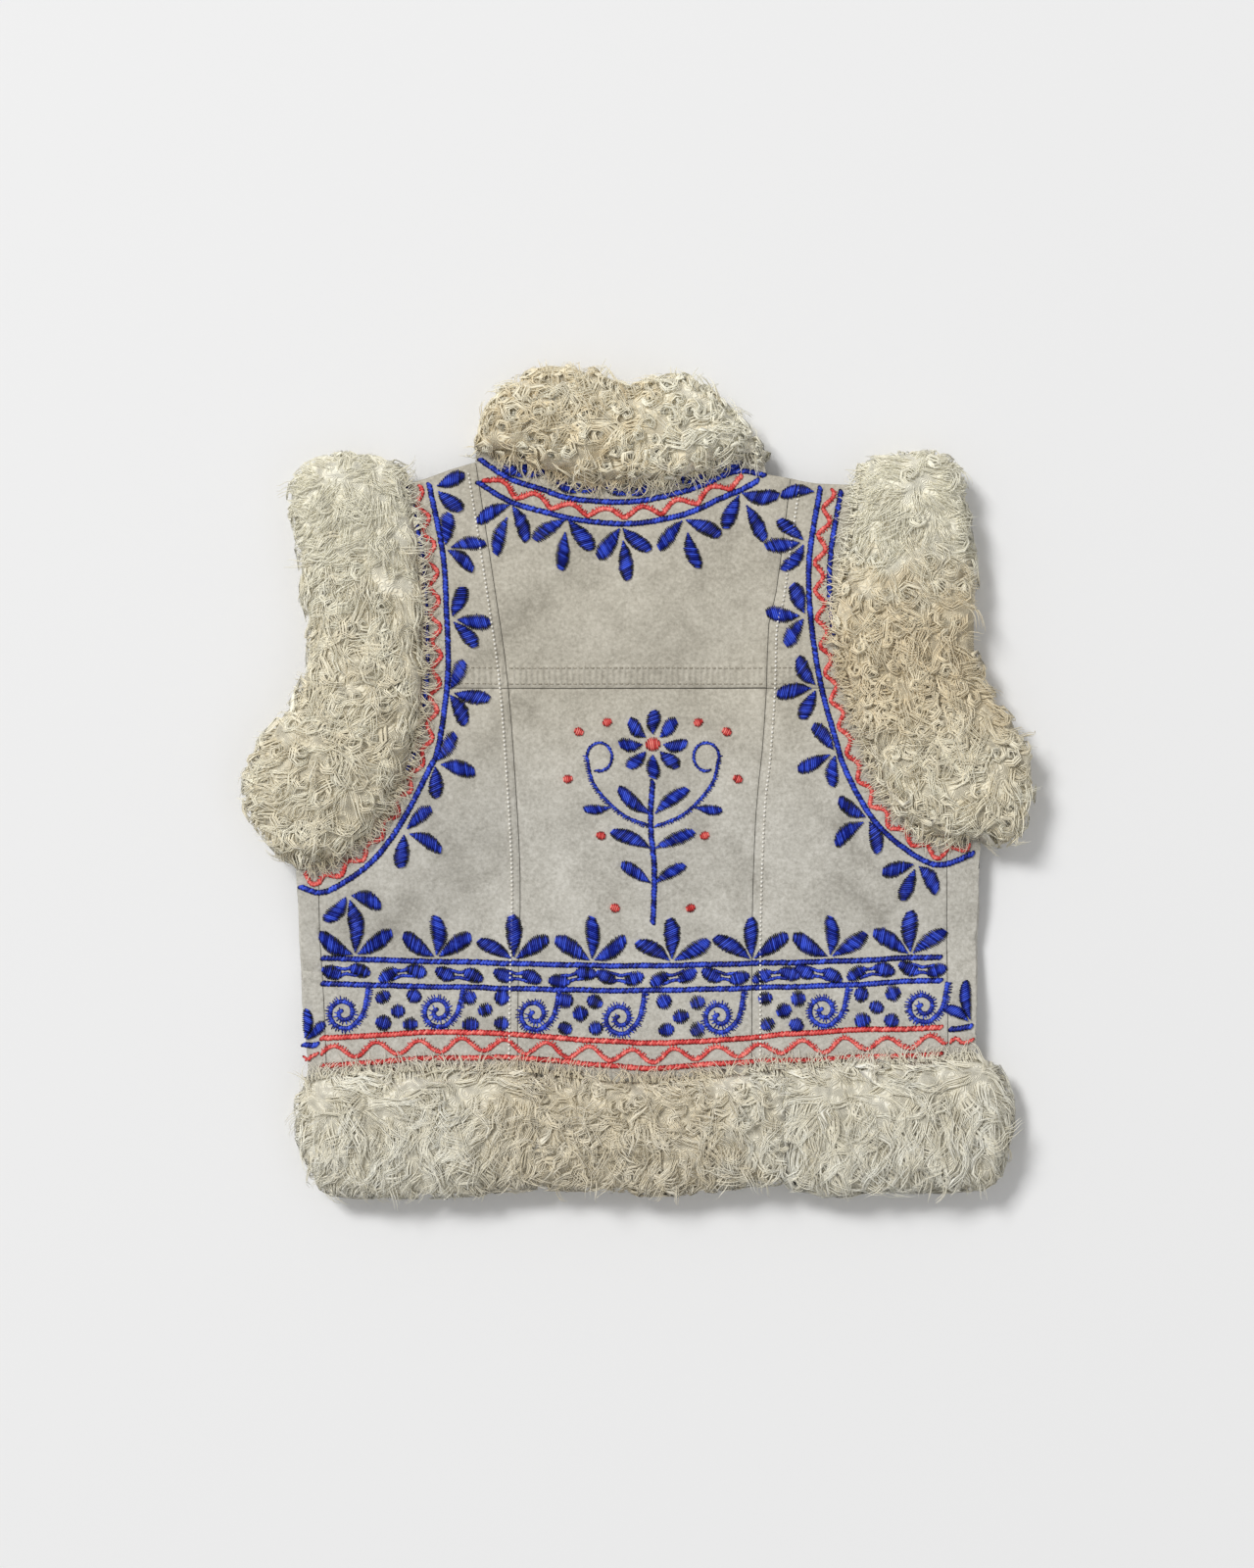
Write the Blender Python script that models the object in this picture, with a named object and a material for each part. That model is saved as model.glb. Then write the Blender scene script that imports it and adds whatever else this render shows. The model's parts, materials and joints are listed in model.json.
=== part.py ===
"""Embroidered sheepskin vest, lying flat on a surface with its back up.

The suede is cut as flat pieces and laid in two layers: the fronts below, the back above. The fronts
wrap round the side folds and meet the back's side panels at the side seams. Lamb's wool trims the
neck, both armholes and the hem, as strips that reach over each cut edge.

Units: the tables and functions are in millimetres, and the meshes are scaled to metres at the end.
The origin is under the middle of the whole vest, on the surface. +Z is up and +Y is to the collar.
"""

import math
from collections import namedtuple

import bmesh
import bpy
from mathutils import Vector

MM = 0.001

# The cloth: wall, seam gap, and the space between a wool strip and the suede that it covers
SUEDE = 2.0
SEAM = 0.4
CLEAR = 0.3
STEP_OUT = 0.6

# Height of the joint between the two layers: at the trims, in the panel middles, and the way between
LAYER_AT_TRIM = 13.0
LAYER_AT_MIDDLE = 2.35
TRIM_SHELF = 28.0
TRIM_SLOPE = 64.0

# Space between the two layers, closed over the body and open along the side folds
LAYER_GAP = 0.7
FOLD_GAP = 4.0
FOLD_REACH = 26.0

# Soft puffs of the back panels between their seams
PUFF = 1.5
PUFF_PITCH = 118.0
PUFF_SLANT = 0.35

# Laying grid: every piece is creased along the same lines, so the layers stay parallel
CELL = 20.0
GRID_X = 14
GRID_Y = 15

# The wool above the joint, and what hides the lower strips behind the upper ones
WOOL_HEIGHT = 22.0
LUMP = 1.6
LUMP_PITCH = 3.1
LUMP_SHIFT = 2.2
LOWER_INSET = 4.0
SECTION_STEPS = 2

# A free end of a wool strip rounds off through one more ring, smaller and further out, and lower
# where the strip stands above this height
END_REACH = 4.5
END_SHARE = 0.66
END_LOWERED_FROM = 20.0

YOKE_SEAM_Y = 59.5
FRONT_OPENING_X = -5.0
OPENING_GAP = 1.6
HEM_JOIN_LEFT_X = -65.0
HEM_JOIN_RIGHT_X = 92.0

# The side fold on a front's flat pattern, and the creases that bend it
ARC_WIDTH = 6.0
ARC_CUTS = 5

# Points of an outline that are nearer than this are one, and a wool section keeps this far from a join
ONE_POINT = 0.35
JOIN_ROOM = 3.0
STAND_START = 0.6

Spot = namedtuple("Spot", "x y")
Section = namedtuple("Section", "lip_x lip_y cut_x cut_y outer_x outer_y height")

SIDES = {"left": -1, "right": 1}

# Seams of the back, from the shoulder or armhole to below the hem's cut edge
PRINCESS_SEAM = {
    "left": [
        Spot(-103.6, 205.0), Spot(-95.7, 152.7), Spot(-89.3, 110.0), Spot(-83.8, 70.4),
        Spot(-79.7, 21.7), Spot(-75.4, -58.3), Spot(-76.4, -130.0), Spot(-77.0, -204.0),
    ],
    "right": [
        Spot(97.5, 205.0), Spot(92.4, 160.6), Spot(86.5, 117.0), Spot(82.2, 98.0), Spot(81.0, 58.3),
        Spot(78.1, 15.0), Spot(74.7, -18.0), Spot(72.2, -91.0), Spot(71.5, -204.0),
    ],
}
SIDE_SEAM = {
    "left": [
        Spot(-203.2, -20.0), Spot(-202.5, -71.0), Spot(-201.7, -107.0), Spot(-198.8, -151.0),
        Spot(-197.0, -204.0),
    ],
    "right": [
        Spot(195.0, -10.0), Spot(195.2, -63.0), Spot(195.6, -120.0), Spot(196.0, -204.0),
    ],
}

# Where each front starts to turn up into its side fold. The rows lie on lines of the laying grid.
FOLD_START = {
    "left": [
        Spot(-215.2, -20.0), Spot(-214.6, -60.0), Spot(-211.6, -100.0), Spot(-209.8, -140.0),
        Spot(-207.2, -180.0), Spot(-206.6, -220.0),
    ],
    "right": [
        Spot(215.2, -20.0), Spot(213.0, -60.0), Spot(211.4, -100.0), Spot(211.2, -140.0),
        Spot(211.4, -180.0), Spot(211.8, -220.0),
    ],
}

# The shoulder edge from the neck to the armhole, and the seam between the yoke and the collar stand
SHOULDER = {
    "left": [Spot(-103.4, 202.5), Spot(-120.0, 197.5), Spot(-135.0, 192.0), Spot(-153.0, 187.0)],
    "right": [Spot(80.6, 195.0), Spot(97.0, 192.0), Spot(112.6, 189.0), Spot(144.0, 188.0)],
}
NECK_SEAM = [
    Spot(-103.4, 202.5), Spot(-97.0, 202.4), Spot(-81.7, 193.5), Spot(-60.3, 186.5), Spot(-46.0, 181.5),
    Spot(-24.8, 179.2), Spot(-10.5, 178.9), Spot(3.7, 179.8), Spot(25.0, 184.5), Spot(39.4, 189.0),
    Spot(53.6, 195.3), Spot(65.0, 198.3), Spot(80.6, 195.0),
]

# Wool strips, a row for each section: its edge on the suede, the suede's cut edge, and its outer edge
ARMHOLE = {
    "left": [
        Section(-147.0, 200.0, -153.0, 201.0, -206.0, 206.0, 0.72),
        Section(-145.5, 186.0, -153.0, 187.0, -219.5, 192.0, 0.94),
        Section(-139.5, 168.0, -148.5, 167.0, -222.5, 172.0, 1.00),
        Section(-136.5, 146.0, -145.3, 146.0, -216.5, 149.0, 1.00),
        Section(-134.5, 122.0, -143.5, 122.0, -215.0, 122.0, 0.96),
        Section(-133.7, 98.0, -142.6, 98.0, -210.5, 100.0, 0.92),
        Section(-132.9, 72.0, -142.0, 72.0, -210.0, 76.0, 0.92),
        Section(-134.5, 48.0, -143.7, 50.0, -222.0, 49.0, 0.98),
        Section(-139.0, 26.0, -148.0, 28.5, -238.0, 31.0, 1.04),
        Section(-145.5, 4.0, -156.0, 7.0, -248.0, 12.0, 1.08),
        Section(-156.0, -18.0, -166.5, -12.5, -252.3, -5.0, 1.08),
        Section(-169.0, -34.0, -179.0, -30.0, -249.5, -18.0, 1.02),
        Section(-184.0, -46.0, -191.0, -41.5, -243.0, -29.0, 0.92),
        Section(-199.0, -53.5, -203.1, -48.0, -234.0, -40.5, 0.76),
        Section(-214.0, -55.0, -218.0, -46.5, -224.0, -47.5, 0.52),
    ],
    "right": [
        Section(137.0, 201.0, 144.0, 202.0, 196.0, 208.0, 0.72),
        Section(136.0, 187.0, 144.0, 188.0, 207.5, 193.0, 0.94),
        Section(133.0, 165.0, 141.5, 166.0, 208.0, 172.0, 1.00),
        Section(129.0, 143.0, 138.0, 143.0, 212.5, 147.0, 1.00),
        Section(123.5, 121.0, 132.5, 122.0, 216.0, 121.0, 0.98),
        Section(121.0, 99.0, 130.0, 100.0, 214.7, 98.0, 0.96),
        Section(126.0, 74.0, 134.8, 74.0, 216.0, 74.0, 0.94),
        Section(133.0, 50.0, 141.5, 50.0, 226.0, 54.0, 0.98),
        Section(140.3, 26.0, 148.6, 26.0, 239.0, 39.0, 1.04),
        Section(149.0, 3.0, 157.5, 4.0, 248.5, 22.0, 1.08),
        Section(160.0, -18.0, 168.5, -13.5, 252.3, 3.0, 1.08),
        Section(174.0, -32.0, 180.5, -25.0, 249.5, -14.0, 1.02),
        Section(188.0, -38.5, 192.0, -30.5, 245.0, -28.0, 0.92),
        Section(202.0, -38.5, 204.5, -30.0, 238.0, -39.5, 0.76),
        Section(213.5, -38.0, 218.0, -29.5, 227.0, -41.0, 0.52),
    ],
}
COLLAR = [
    Section(-102.0, 205.2, -103.0, 208.5, -104.5, 216.0, 0.60),
    Section(-92.0, 204.5, -93.5, 212.0, -98.5, 236.0, 0.95),
    Section(-75.0, 201.5, -76.5, 210.5, -82.5, 254.5, 1.05),
    Section(-56.0, 193.5, -58.0, 202.5, -61.0, 263.0, 1.10),
    Section(-36.0, 188.5, -36.5, 197.5, -36.0, 263.8, 1.10),
    Section(-13.0, 187.0, -13.5, 196.0, -14.0, 256.5, 1.04),
    Section(-3.0, 187.0, -3.5, 196.0, -6.0, 250.5, 1.00),
    Section(14.0, 187.5, 13.5, 196.5, 12.0, 257.5, 1.06),
    Section(35.0, 192.0, 34.0, 201.0, 34.0, 255.5, 1.10),
    Section(50.0, 199.5, 49.0, 207.5, 53.5, 243.0, 1.05),
    Section(65.0, 203.5, 64.5, 209.5, 68.5, 228.0, 0.92),
    Section(79.5, 201.5, 79.0, 204.5, 81.5, 209.0, 0.60),
]
HEM = [
    Section(-212.5, -188.0, -213.5, -195.0, -211.5, -242.0, 0.62),
    Section(-203.0, -184.0, -203.0, -192.5, -202.0, -257.5, 0.92),
    Section(-180.0, -181.5, -180.0, -190.5, -180.0, -263.4, 1.00),
    Section(-150.0, -179.5, -150.0, -188.5, -150.0, -264.0, 1.04),
    Section(-120.0, -178.5, -120.0, -187.5, -120.0, -263.4, 1.04),
    Section(-92.0, -178.8, -92.0, -187.8, -92.0, -260.0, 1.00),
    Section(-65.0, -180.0, -65.0, -189.0, -65.0, -257.5, 0.96),
    Section(-35.0, -184.0, -35.0, -193.0, -34.5, -259.0, 1.00),
    Section(0.0, -186.0, 0.0, -195.0, 0.0, -260.5, 1.02),
    Section(30.0, -185.5, 30.0, -194.5, 29.0, -261.0, 1.00),
    Section(60.0, -181.0, 60.0, -190.0, 59.0, -256.5, 0.96),
    Section(92.0, -177.5, 92.0, -186.5, 92.0, -255.5, 0.92),
    Section(120.0, -176.5, 120.0, -185.5, 120.0, -262.5, 1.00),
    Section(150.0, -175.0, 150.0, -184.0, 152.0, -260.3, 1.04),
    Section(180.0, -173.2, 180.0, -182.2, 186.0, -260.5, 1.06),
    Section(202.0, -172.0, 202.0, -180.5, 213.0, -259.0, 1.02),
    Section(214.5, -171.5, 216.0, -178.5, 229.5, -249.0, 0.92),
    Section(223.5, -174.5, 226.0, -180.0, 237.6, -214.0, 0.62),
]
FRONT_NECK = {
    "left": [
        Section(-104.0, 186.0, -97.5, 191.5, -82.0, 199.0, 1.0),
        Section(-93.0, 168.0, -86.0, 174.5, -70.0, 190.0, 1.0),
        Section(-73.0, 152.0, -68.0, 159.5, -55.0, 178.0, 1.0),
        Section(-48.0, 139.0, -45.0, 147.5, -37.0, 169.0, 1.0),
        Section(-24.0, 132.5, -22.5, 141.2, -19.0, 164.5, 1.0),
        Section(-6.0, 130.0, -6.0, 139.0, -6.0, 163.0, 1.0),
    ],
    "right": [
        Section(84.0, 176.0, 77.0, 182.0, 62.0, 191.0, 1.0),
        Section(72.0, 161.0, 65.0, 168.0, 50.0, 184.0, 1.0),
        Section(53.0, 147.0, 48.0, 155.0, 37.0, 173.5, 1.0),
        Section(30.0, 136.5, 27.0, 145.0, 20.0, 167.0, 1.0),
        Section(10.0, 131.5, 8.5, 140.2, 5.0, 164.0, 1.0),
        Section(-4.0, 130.0, -4.0, 139.0, -4.0, 163.0, 1.0),
    ],
}

# Profiles of a wool strip, a row for each corner: a share of the way (0 lip, 1 cut edge, 2 outer edge),
# how far past the cut edge, and a height. Upper: a share of the wool's height above the layer joint,
# or of the lip's thickness above the suede. Lower: a share of the space under the joint.
Corner = namedtuple("Corner", "way past rise base")
UPPER_PROFILE = [
    Corner(0.00, 0.0, 0.00, "suede"),
    Corner(1.00, 1.0, 0.00, "suede"),
    Corner(1.00, 1.0, 0.00, "joint"),
    Corner(1.86, 0.0, 0.00, "joint"),
    Corner(2.00, 0.0, 0.34, "joint"),
    Corner(1.95, 0.0, 0.66, "joint"),
    Corner(1.78, 0.0, 0.92, "joint"),
    Corner(1.50, 0.0, 1.00, "joint"),
    Corner(1.20, 0.0, 0.93, "joint"),
    Corner(1.00, 0.0, 0.80, "joint"),
    Corner(0.45, 0.0, 0.52, "joint"),
    Corner(0.00, 0.0, 0.27, "joint"),
]
ROLL_PROFILE = [
    Corner(0.00, 0.0, 0.00, "suede"),
    Corner(1.00, 1.0, 0.00, "suede"),
    Corner(1.00, 1.0, 0.02, "floor"),
    Corner(1.14, 0.0, 0.00, "floor"),
    Corner(1.80, 0.0, 0.00, "floor"),
    Corner(1.96, 0.0, 0.22, "floor"),
    Corner(2.00, 0.0, 0.48, "floor"),
    Corner(1.93, 0.0, 0.78, "floor"),
    Corner(1.76, 0.0, 0.94, "floor"),
    Corner(1.50, 0.0, 1.00, "floor"),
    Corner(1.20, 0.0, 0.96, "floor"),
    Corner(1.00, 0.0, 0.88, "floor"),
    Corner(0.45, 0.0, 0.72, "floor"),
    Corner(0.00, 0.0, 0.55, "floor"),
]
LOWER_PROFILE = [
    Corner(0.00, 0.0, 0.66, "below"),
    Corner(0.60, 0.0, 0.22, "below"),
    Corner(1.10, 0.0, 0.00, "below"),
    Corner(1.80, 0.0, 0.00, "below"),
    Corner(1.97, 0.0, 0.30, "below"),
    Corner(2.00, 0.0, 0.62, "below"),
    Corner(1.90, 0.0, 1.00, "below"),
    Corner(1.00, 1.0, 1.00, "below"),
    Corner(1.00, 1.0, 1.00, "under_suede"),
    Corner(0.00, 0.0, 1.00, "under_suede"),
]

Finish = namedtuple("Finish", "color roughness")
FINISHES = {
    "suede": Finish((0.50, 0.47, 0.40), 0.92),
    "wool_cream": Finish((0.62, 0.57, 0.44), 1.0),
    "wool_tan": Finish((0.52, 0.42, 0.27), 1.0),
    "wool_white": Finish((0.66, 0.64, 0.56), 1.0),
}


def clear_scene():
    for old in list(bpy.data.objects):
        bpy.data.objects.remove(old, do_unlink=True)


def material(name, finish):
    """A material of its own for one piece."""
    made = bpy.data.materials.new(name + "_" + finish)
    made.use_nodes = True
    shader = made.node_tree.nodes["Principled BSDF"]
    shader.inputs["Base Color"].default_value = (*FINISHES[finish].color, 1.0)
    shader.inputs["Roughness"].default_value = FINISHES[finish].roughness
    shader.inputs["Metallic"].default_value = 0.0
    made.diffuse_color = (*FINISHES[finish].color, 1.0)
    return made


def place(name, mesh_data, finish, collection):
    """Turns a closed bmesh in millimetres into a named object in metres."""
    bmesh.ops.recalc_face_normals(mesh_data, faces=mesh_data.faces)
    bmesh.ops.scale(mesh_data, vec=(MM, MM, MM), verts=mesh_data.verts)
    mesh = bpy.data.meshes.new(name)
    mesh_data.to_mesh(mesh)
    mesh_data.free()
    piece = bpy.data.objects.new(name, mesh)
    mesh.materials.append(material(name, finish))
    collection.objects.link(piece)
    mesh.shade_smooth()
    mesh.set_sharp_from_angle(angle=math.radians(40))
    return piece


# Curves


def smooth(rows, steps):
    """A Catmull-Rom curve through the rows of a table, each gap split into a number of steps."""
    kind = type(rows[0])
    curve = []
    for number in range(len(rows) - 1):
        before = rows[max(number - 1, 0)]
        start = rows[number]
        end = rows[number + 1]
        after = rows[min(number + 2, len(rows) - 1)]
        for step in range(steps):
            t = step / steps
            curve.append(kind(*[
                0.5 * (2 * b + (c - a) * t + (2 * a - 5 * b + 4 * c - d) * t ** 2
                       + (3 * b - a - 3 * c + d) * t ** 3)
                for a, b, c, d in zip(before, start, end, after)
            ]))
    curve.append(rows[-1])
    return curve


def between(a, b, share):
    return Spot(a.x + (b.x - a.x) * share, a.y + (b.y - a.y) * share)


def at_height(curve, y):
    """The x of a curve that runs up or down, at a given y."""
    for a, b in zip(curve, curve[1:]):
        if (a.y - y) * (b.y - y) <= 0 and a.y != b.y:
            return a.x + (b.x - a.x) * (y - a.y) / (b.y - a.y)
    return min(curve, key=lambda spot: abs(spot.y - y)).x


def at_width(curve, x):
    """The y of a curve that runs across, at a given x."""
    for a, b in zip(curve, curve[1:]):
        if (a.x - x) * (b.x - x) <= 0 and a.x != b.x:
            return a.y + (b.y - a.y) * (x - a.x) / (b.x - a.x)
    return min(curve, key=lambda spot: abs(spot.x - x)).y


def on_grid_rows(table):
    """A seam as a smooth curve with a point on each line of the laying grid, from its top down."""
    fine = smooth(table, 8)
    top, bottom = fine[0].y, fine[-1].y
    lines = [line * CELL for line in range(GRID_Y, -GRID_Y - 1, -1)]
    heights = [top] + [line for line in lines if bottom < line < top] + [bottom]
    return [Spot(at_height(fine, y), y) for y in heights]


def moved(curve, x=0.0, y=0.0):
    return [Spot(spot.x + x, spot.y + y) for spot in curve]


def part_of(curve, inside):
    """The stretch of a curve where inside(spot) is positive, with its ends on the crossings."""
    kept = []
    for a, b in zip(curve, curve[1:]):
        in_a, in_b = inside(a), inside(b)
        if in_a > 0:
            kept.append(a)
        if (in_a > 0) != (in_b > 0):
            kept.append(between(a, b, in_a / (in_a - in_b)))
    if inside(curve[-1]) > 0:
        kept.append(curve[-1])
    return kept


def loop(*chains):
    """One closed outline from chains laid end to end, without doubled points."""
    outline = []
    for chain in chains:
        for spot in chain:
            if not outline or math.dist(spot, outline[-1]) > ONE_POINT:
                outline.append(spot)
    while math.dist(outline[0], outline[-1]) < ONE_POINT:
        outline.pop()
    return outline


def distance_to(curve, x, y):
    """The distance from a point to the nearest place on a curve."""
    nearest = 1e9
    for a, b in zip(curve, curve[1:]):
        run_x, run_y = b.x - a.x, b.y - a.y
        share = ((x - a.x) * run_x + (y - a.y) * run_y) / (run_x ** 2 + run_y ** 2)
        share = min(max(share, 0.0), 1.0)
        nearest = min(nearest, math.hypot(x - a.x - run_x * share, y - a.y - run_y * share))
    return nearest


def ease(value):
    """0 to 1 with a soft start and end."""
    value = min(max(value, 0.0), 1.0)
    return value * value * (3 - 2 * value)


def cut_edge(sections):
    return [Spot(row.cut_x, row.cut_y) for row in sections]


ARMHOLE_SECTIONS = {side: smooth(ARMHOLE[side], SECTION_STEPS) for side in SIDES}
FRONT_NECK_SECTIONS = {side: smooth(FRONT_NECK[side], SECTION_STEPS) for side in SIDES}
COLLAR_SECTIONS = smooth(COLLAR, SECTION_STEPS)
HEM_SECTIONS = smooth(HEM, SECTION_STEPS)

# The first armhole row is the wool past the shoulder, so the suede's edge starts one row later
ARMHOLE_CUT = {side: cut_edge(ARMHOLE_SECTIONS[side][SECTION_STEPS:]) for side in SIDES}
FRONT_NECK_CUT = {side: cut_edge(FRONT_NECK_SECTIONS[side]) for side in SIDES}
COLLAR_CUT = cut_edge(COLLAR_SECTIONS)
HEM_CUT = cut_edge(HEM_SECTIONS)
PRINCESS = {side: on_grid_rows(PRINCESS_SEAM[side]) for side in SIDES}
SIDE = {side: on_grid_rows(SIDE_SEAM[side]) for side in SIDES}
NECK = smooth(NECK_SEAM, 2)
TRIM_PATHS = [HEM_CUT, COLLAR_CUT, *ARMHOLE_CUT.values(), *FRONT_NECK_CUT.values()]


# The surface that the two layers lie on


def fold_x(side, y):
    return at_height(FOLD_START[side], y)


def layer_shape(x, y):
    """Height of the joint between the layers, the space in it, and the back's puff, at one point."""
    from_trim = min(distance_to(path, x, y) for path in TRIM_PATHS)
    from_fold = min(abs(x - fold_x(side, y)) for side in SIDES)
    away = ease((from_trim - TRIM_SHELF) / TRIM_SLOPE)
    near_fold = 1 - ease((from_fold - CELL) / FOLD_REACH)
    height = LAYER_AT_TRIM + (LAYER_AT_MIDDLE - LAYER_AT_TRIM) * away
    open_share = ease((from_trim - TRIM_SHELF) / CELL)
    space = LAYER_GAP + (FOLD_GAP - LAYER_GAP) * near_fold * open_share
    wave = math.sin(2 * math.pi * (x + PUFF_SLANT * y) / PUFF_PITCH) * math.cos(2 * math.pi * y / PUFF_PITCH)
    puff = PUFF * open_share * (0.5 + 0.5 * wave)
    return Vector((height, space, puff))


GRID = {
    (column, row): layer_shape(column * CELL, row * CELL)
    for column in range(-GRID_X, GRID_X + 1)
    for row in range(-GRID_Y, GRID_Y + 1)
}


def surface(x, y):
    """layer_shape, flat within each triangle of the laying grid."""
    column, row = math.floor(x / CELL), math.floor(y / CELL)
    across, along = x / CELL - column, y / CELL - row
    low, high = GRID[column, row], GRID[column + 1, row + 1]
    if across > along:
        corner = GRID[column + 1, row]
        return low + (corner - low) * across + (high - corner) * along
    corner = GRID[column, row + 1]
    return low + (corner - low) * along + (high - corner) * across


# Cloth pieces


def cut(pattern, point, normal, faces=None):
    """Creases a flat pattern along one line."""
    chosen = faces if faces is not None else pattern.faces[:]
    edges = {edge for face in chosen for edge in face.edges}
    verts = {vert for face in chosen for vert in face.verts}
    bmesh.ops.bisect_plane(
        pattern, geom=[*chosen, *edges, *verts], dist=0.02,
        plane_co=(*point, 0.0), plane_no=(*normal, 0.0),
    )


def crease_on_grid(pattern):
    """Creases a pattern along the laying grid's columns, rows and diagonals."""
    columns, rows = GRID_X - 1, GRID_Y - 1
    for column in range(-columns, columns + 1):
        cut(pattern, (column * CELL, 0.0), (1.0, 0.0))
    for row in range(-rows, rows + 1):
        cut(pattern, (0.0, row * CELL), (0.0, 1.0))
    for diagonal in range(-columns - rows, columns + rows + 1):
        cut(pattern, (diagonal * CELL, 0.0), (1.0, -1.0))


def flat_piece(outline):
    pattern = bmesh.new()
    pattern.faces.new([pattern.verts.new((spot.x, spot.y, 0.0)) for spot in outline])
    return pattern


def thicken_and_lay(pattern, lay):
    """Gives a flat pattern a wall, then moves each point to where the cloth lies."""
    bmesh.ops.triangulate(pattern, faces=pattern.faces)
    raised = bmesh.ops.extrude_face_region(pattern, geom=pattern.faces[:])["geom"]
    for vert in raised:
        if isinstance(vert, bmesh.types.BMVert):
            vert.co.z = SUEDE
    for vert in pattern.verts:
        base, outward = lay(vert.co.x, vert.co.y)
        vert.co = base + outward * vert.co.z
    return pattern


def lay_on_back(x, y):
    """The back's inner face, and the way its wall goes."""
    height, space, puff = surface(x, y)
    return Vector((x, y, height + space / 2 + puff)), Vector((0, 0, 1))


def back_piece(name, outline, collection):
    pattern = flat_piece(outline)
    crease_on_grid(pattern)
    return place(name, thicken_and_lay(pattern, lay_on_back), "suede", collection)


def lay_on_front(side):
    """Lays a front: flat below, round the side fold, and up to the side seam above."""
    sign = SIDES[side]

    def lay(across, y):
        start = abs(fold_x(side, y))
        if across <= start:
            height, space, _ = surface(sign * across, y)
            return Vector((sign * across, y, height - space / 2)), Vector((0, 0, -1))
        if across < start + ARC_WIDTH:
            height, space, _ = surface(sign * start, y)
            turn = math.pi * (across - start) / ARC_WIDTH
            outward = Vector((sign * math.sin(turn), 0, -math.cos(turn)))
            return Vector((sign * start, y, height)) + outward * (space / 2), outward
        x = sign * (2 * start + ARC_WIDTH - across)
        height, space, _ = surface(x, y)
        return Vector((x, y, height + space / 2)), Vector((0, 0, 1))

    return lay


def unfolded(side, chain):
    """Places of the strip above the side fold, on the front's flat pattern."""
    return [Spot(2 * abs(fold_x(side, spot.y)) + ARC_WIDTH - abs(spot.x), spot.y) for spot in chain]


def front_outline(side):
    """A front's pattern, with x counted outwards from the middle of the vest."""
    sign = SIDES[side]

    def outside_fold(spot):
        return abs(fold_x(side, spot.y)) - abs(spot.x)

    opening = FRONT_OPENING_X + sign * OPENING_GAP / 2
    neck = part_of(FRONT_NECK_CUT[side], lambda spot: sign * (spot.x - opening))
    corner = SHOULDER[side][0]
    armhole = part_of(ARMHOLE_CUT[side], outside_fold)
    hem = part_of(HEM_CUT, lambda spot: sign * (spot.x - opening))
    hem = part_of(hem, outside_fold)
    if side == "right":
        hem = hem[::-1]
    seam = moved(SIDE[side], x=sign * SEAM / 2)
    seam = part_of(seam, lambda spot: at_width(ARMHOLE_CUT[side], spot.x) - spot.y)
    seam = part_of(seam, lambda spot: spot.y - at_width(HEM_CUT, spot.x))
    strip_top = part_of(armhole, lambda spot: abs(spot.x) - abs(seam[0].x))
    strip_bottom = part_of(hem, lambda spot: abs(spot.x) - abs(seam[-1].x))
    lower = [corner, *SHOULDER[side][1:-1], *armhole]
    upper = [*strip_top[::-1], *seam, *strip_bottom[::-1]]
    outline = loop(
        [Spot(sign * spot.x, spot.y) for spot in lower],
        unfolded(side, upper),
        [Spot(sign * spot.x, spot.y) for spot in hem],
        [Spot(sign * spot.x, spot.y) for spot in neck[::-1]],
    )
    return outline


def front_piece(name, side, collection):
    pattern = flat_piece(front_outline(side))
    crease_on_grid(pattern)
    for top, bottom in zip(FOLD_START[side], FOLD_START[side][1:]):
        run = Vector((abs(bottom.x) - abs(top.x), bottom.y - top.y))
        for number in range(ARC_CUTS + 1):
            shift = ARC_WIDTH * number / ARC_CUTS
            band = [
                face for face in pattern.faces
                if bottom.y < face.calc_center_median().y < top.y
            ]
            cut(pattern, (abs(top.x) + shift, top.y), (-run.y, run.x), band)
    return place(name, thicken_and_lay(pattern, lay_on_front(side)), "suede", collection)


def above_yoke_seam(spot):
    return spot.y - YOKE_SEAM_Y - SEAM / 2


def below_yoke_seam(spot):
    return YOKE_SEAM_Y - SEAM / 2 - spot.y


def above_hem(spot):
    return spot.y - at_width(HEM_CUT, spot.x)


def yoke_outline():
    left = part_of(moved(PRINCESS["left"], x=SEAM / 2), above_yoke_seam)
    right = part_of(moved(PRINCESS["right"], x=-SEAM / 2), above_yoke_seam)
    shoulder = smooth(SHOULDER["right"], 2)
    neck = moved(NECK, y=-SEAM / 2)
    left = part_of(left, lambda spot: at_width(neck, spot.x) - spot.y)
    right = part_of(right, lambda spot: at_width(shoulder, spot.x) - spot.y)
    neck = part_of(neck, lambda spot: spot.x - left[0].x)
    shoulder = part_of(shoulder, lambda spot: right[0].x - spot.x)
    return loop(left[::-1], neck, shoulder[1:], right)


def center_outline():
    left = part_of(part_of(moved(PRINCESS["left"], x=SEAM / 2), below_yoke_seam), above_hem)
    right = part_of(part_of(moved(PRINCESS["right"], x=-SEAM / 2), below_yoke_seam), above_hem)
    hem = part_of(HEM_CUT, lambda spot: spot.x - left[-1].x)
    hem = part_of(hem, lambda spot: right[-1].x - spot.x)
    return loop(left, hem, right[::-1])


def side_upper_outline(side):
    sign = SIDES[side]
    seam = part_of(moved(PRINCESS[side], x=sign * SEAM / 2), above_yoke_seam)
    shoulder = smooth(SHOULDER[side], 2)
    seam = part_of(seam, lambda spot: at_width(shoulder, spot.x) - spot.y)
    shoulder = part_of(shoulder, lambda spot: sign * (spot.x - seam[0].x))
    armhole = part_of(ARMHOLE_CUT[side], above_yoke_seam)
    return loop(seam[::-1], shoulder, armhole)


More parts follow.
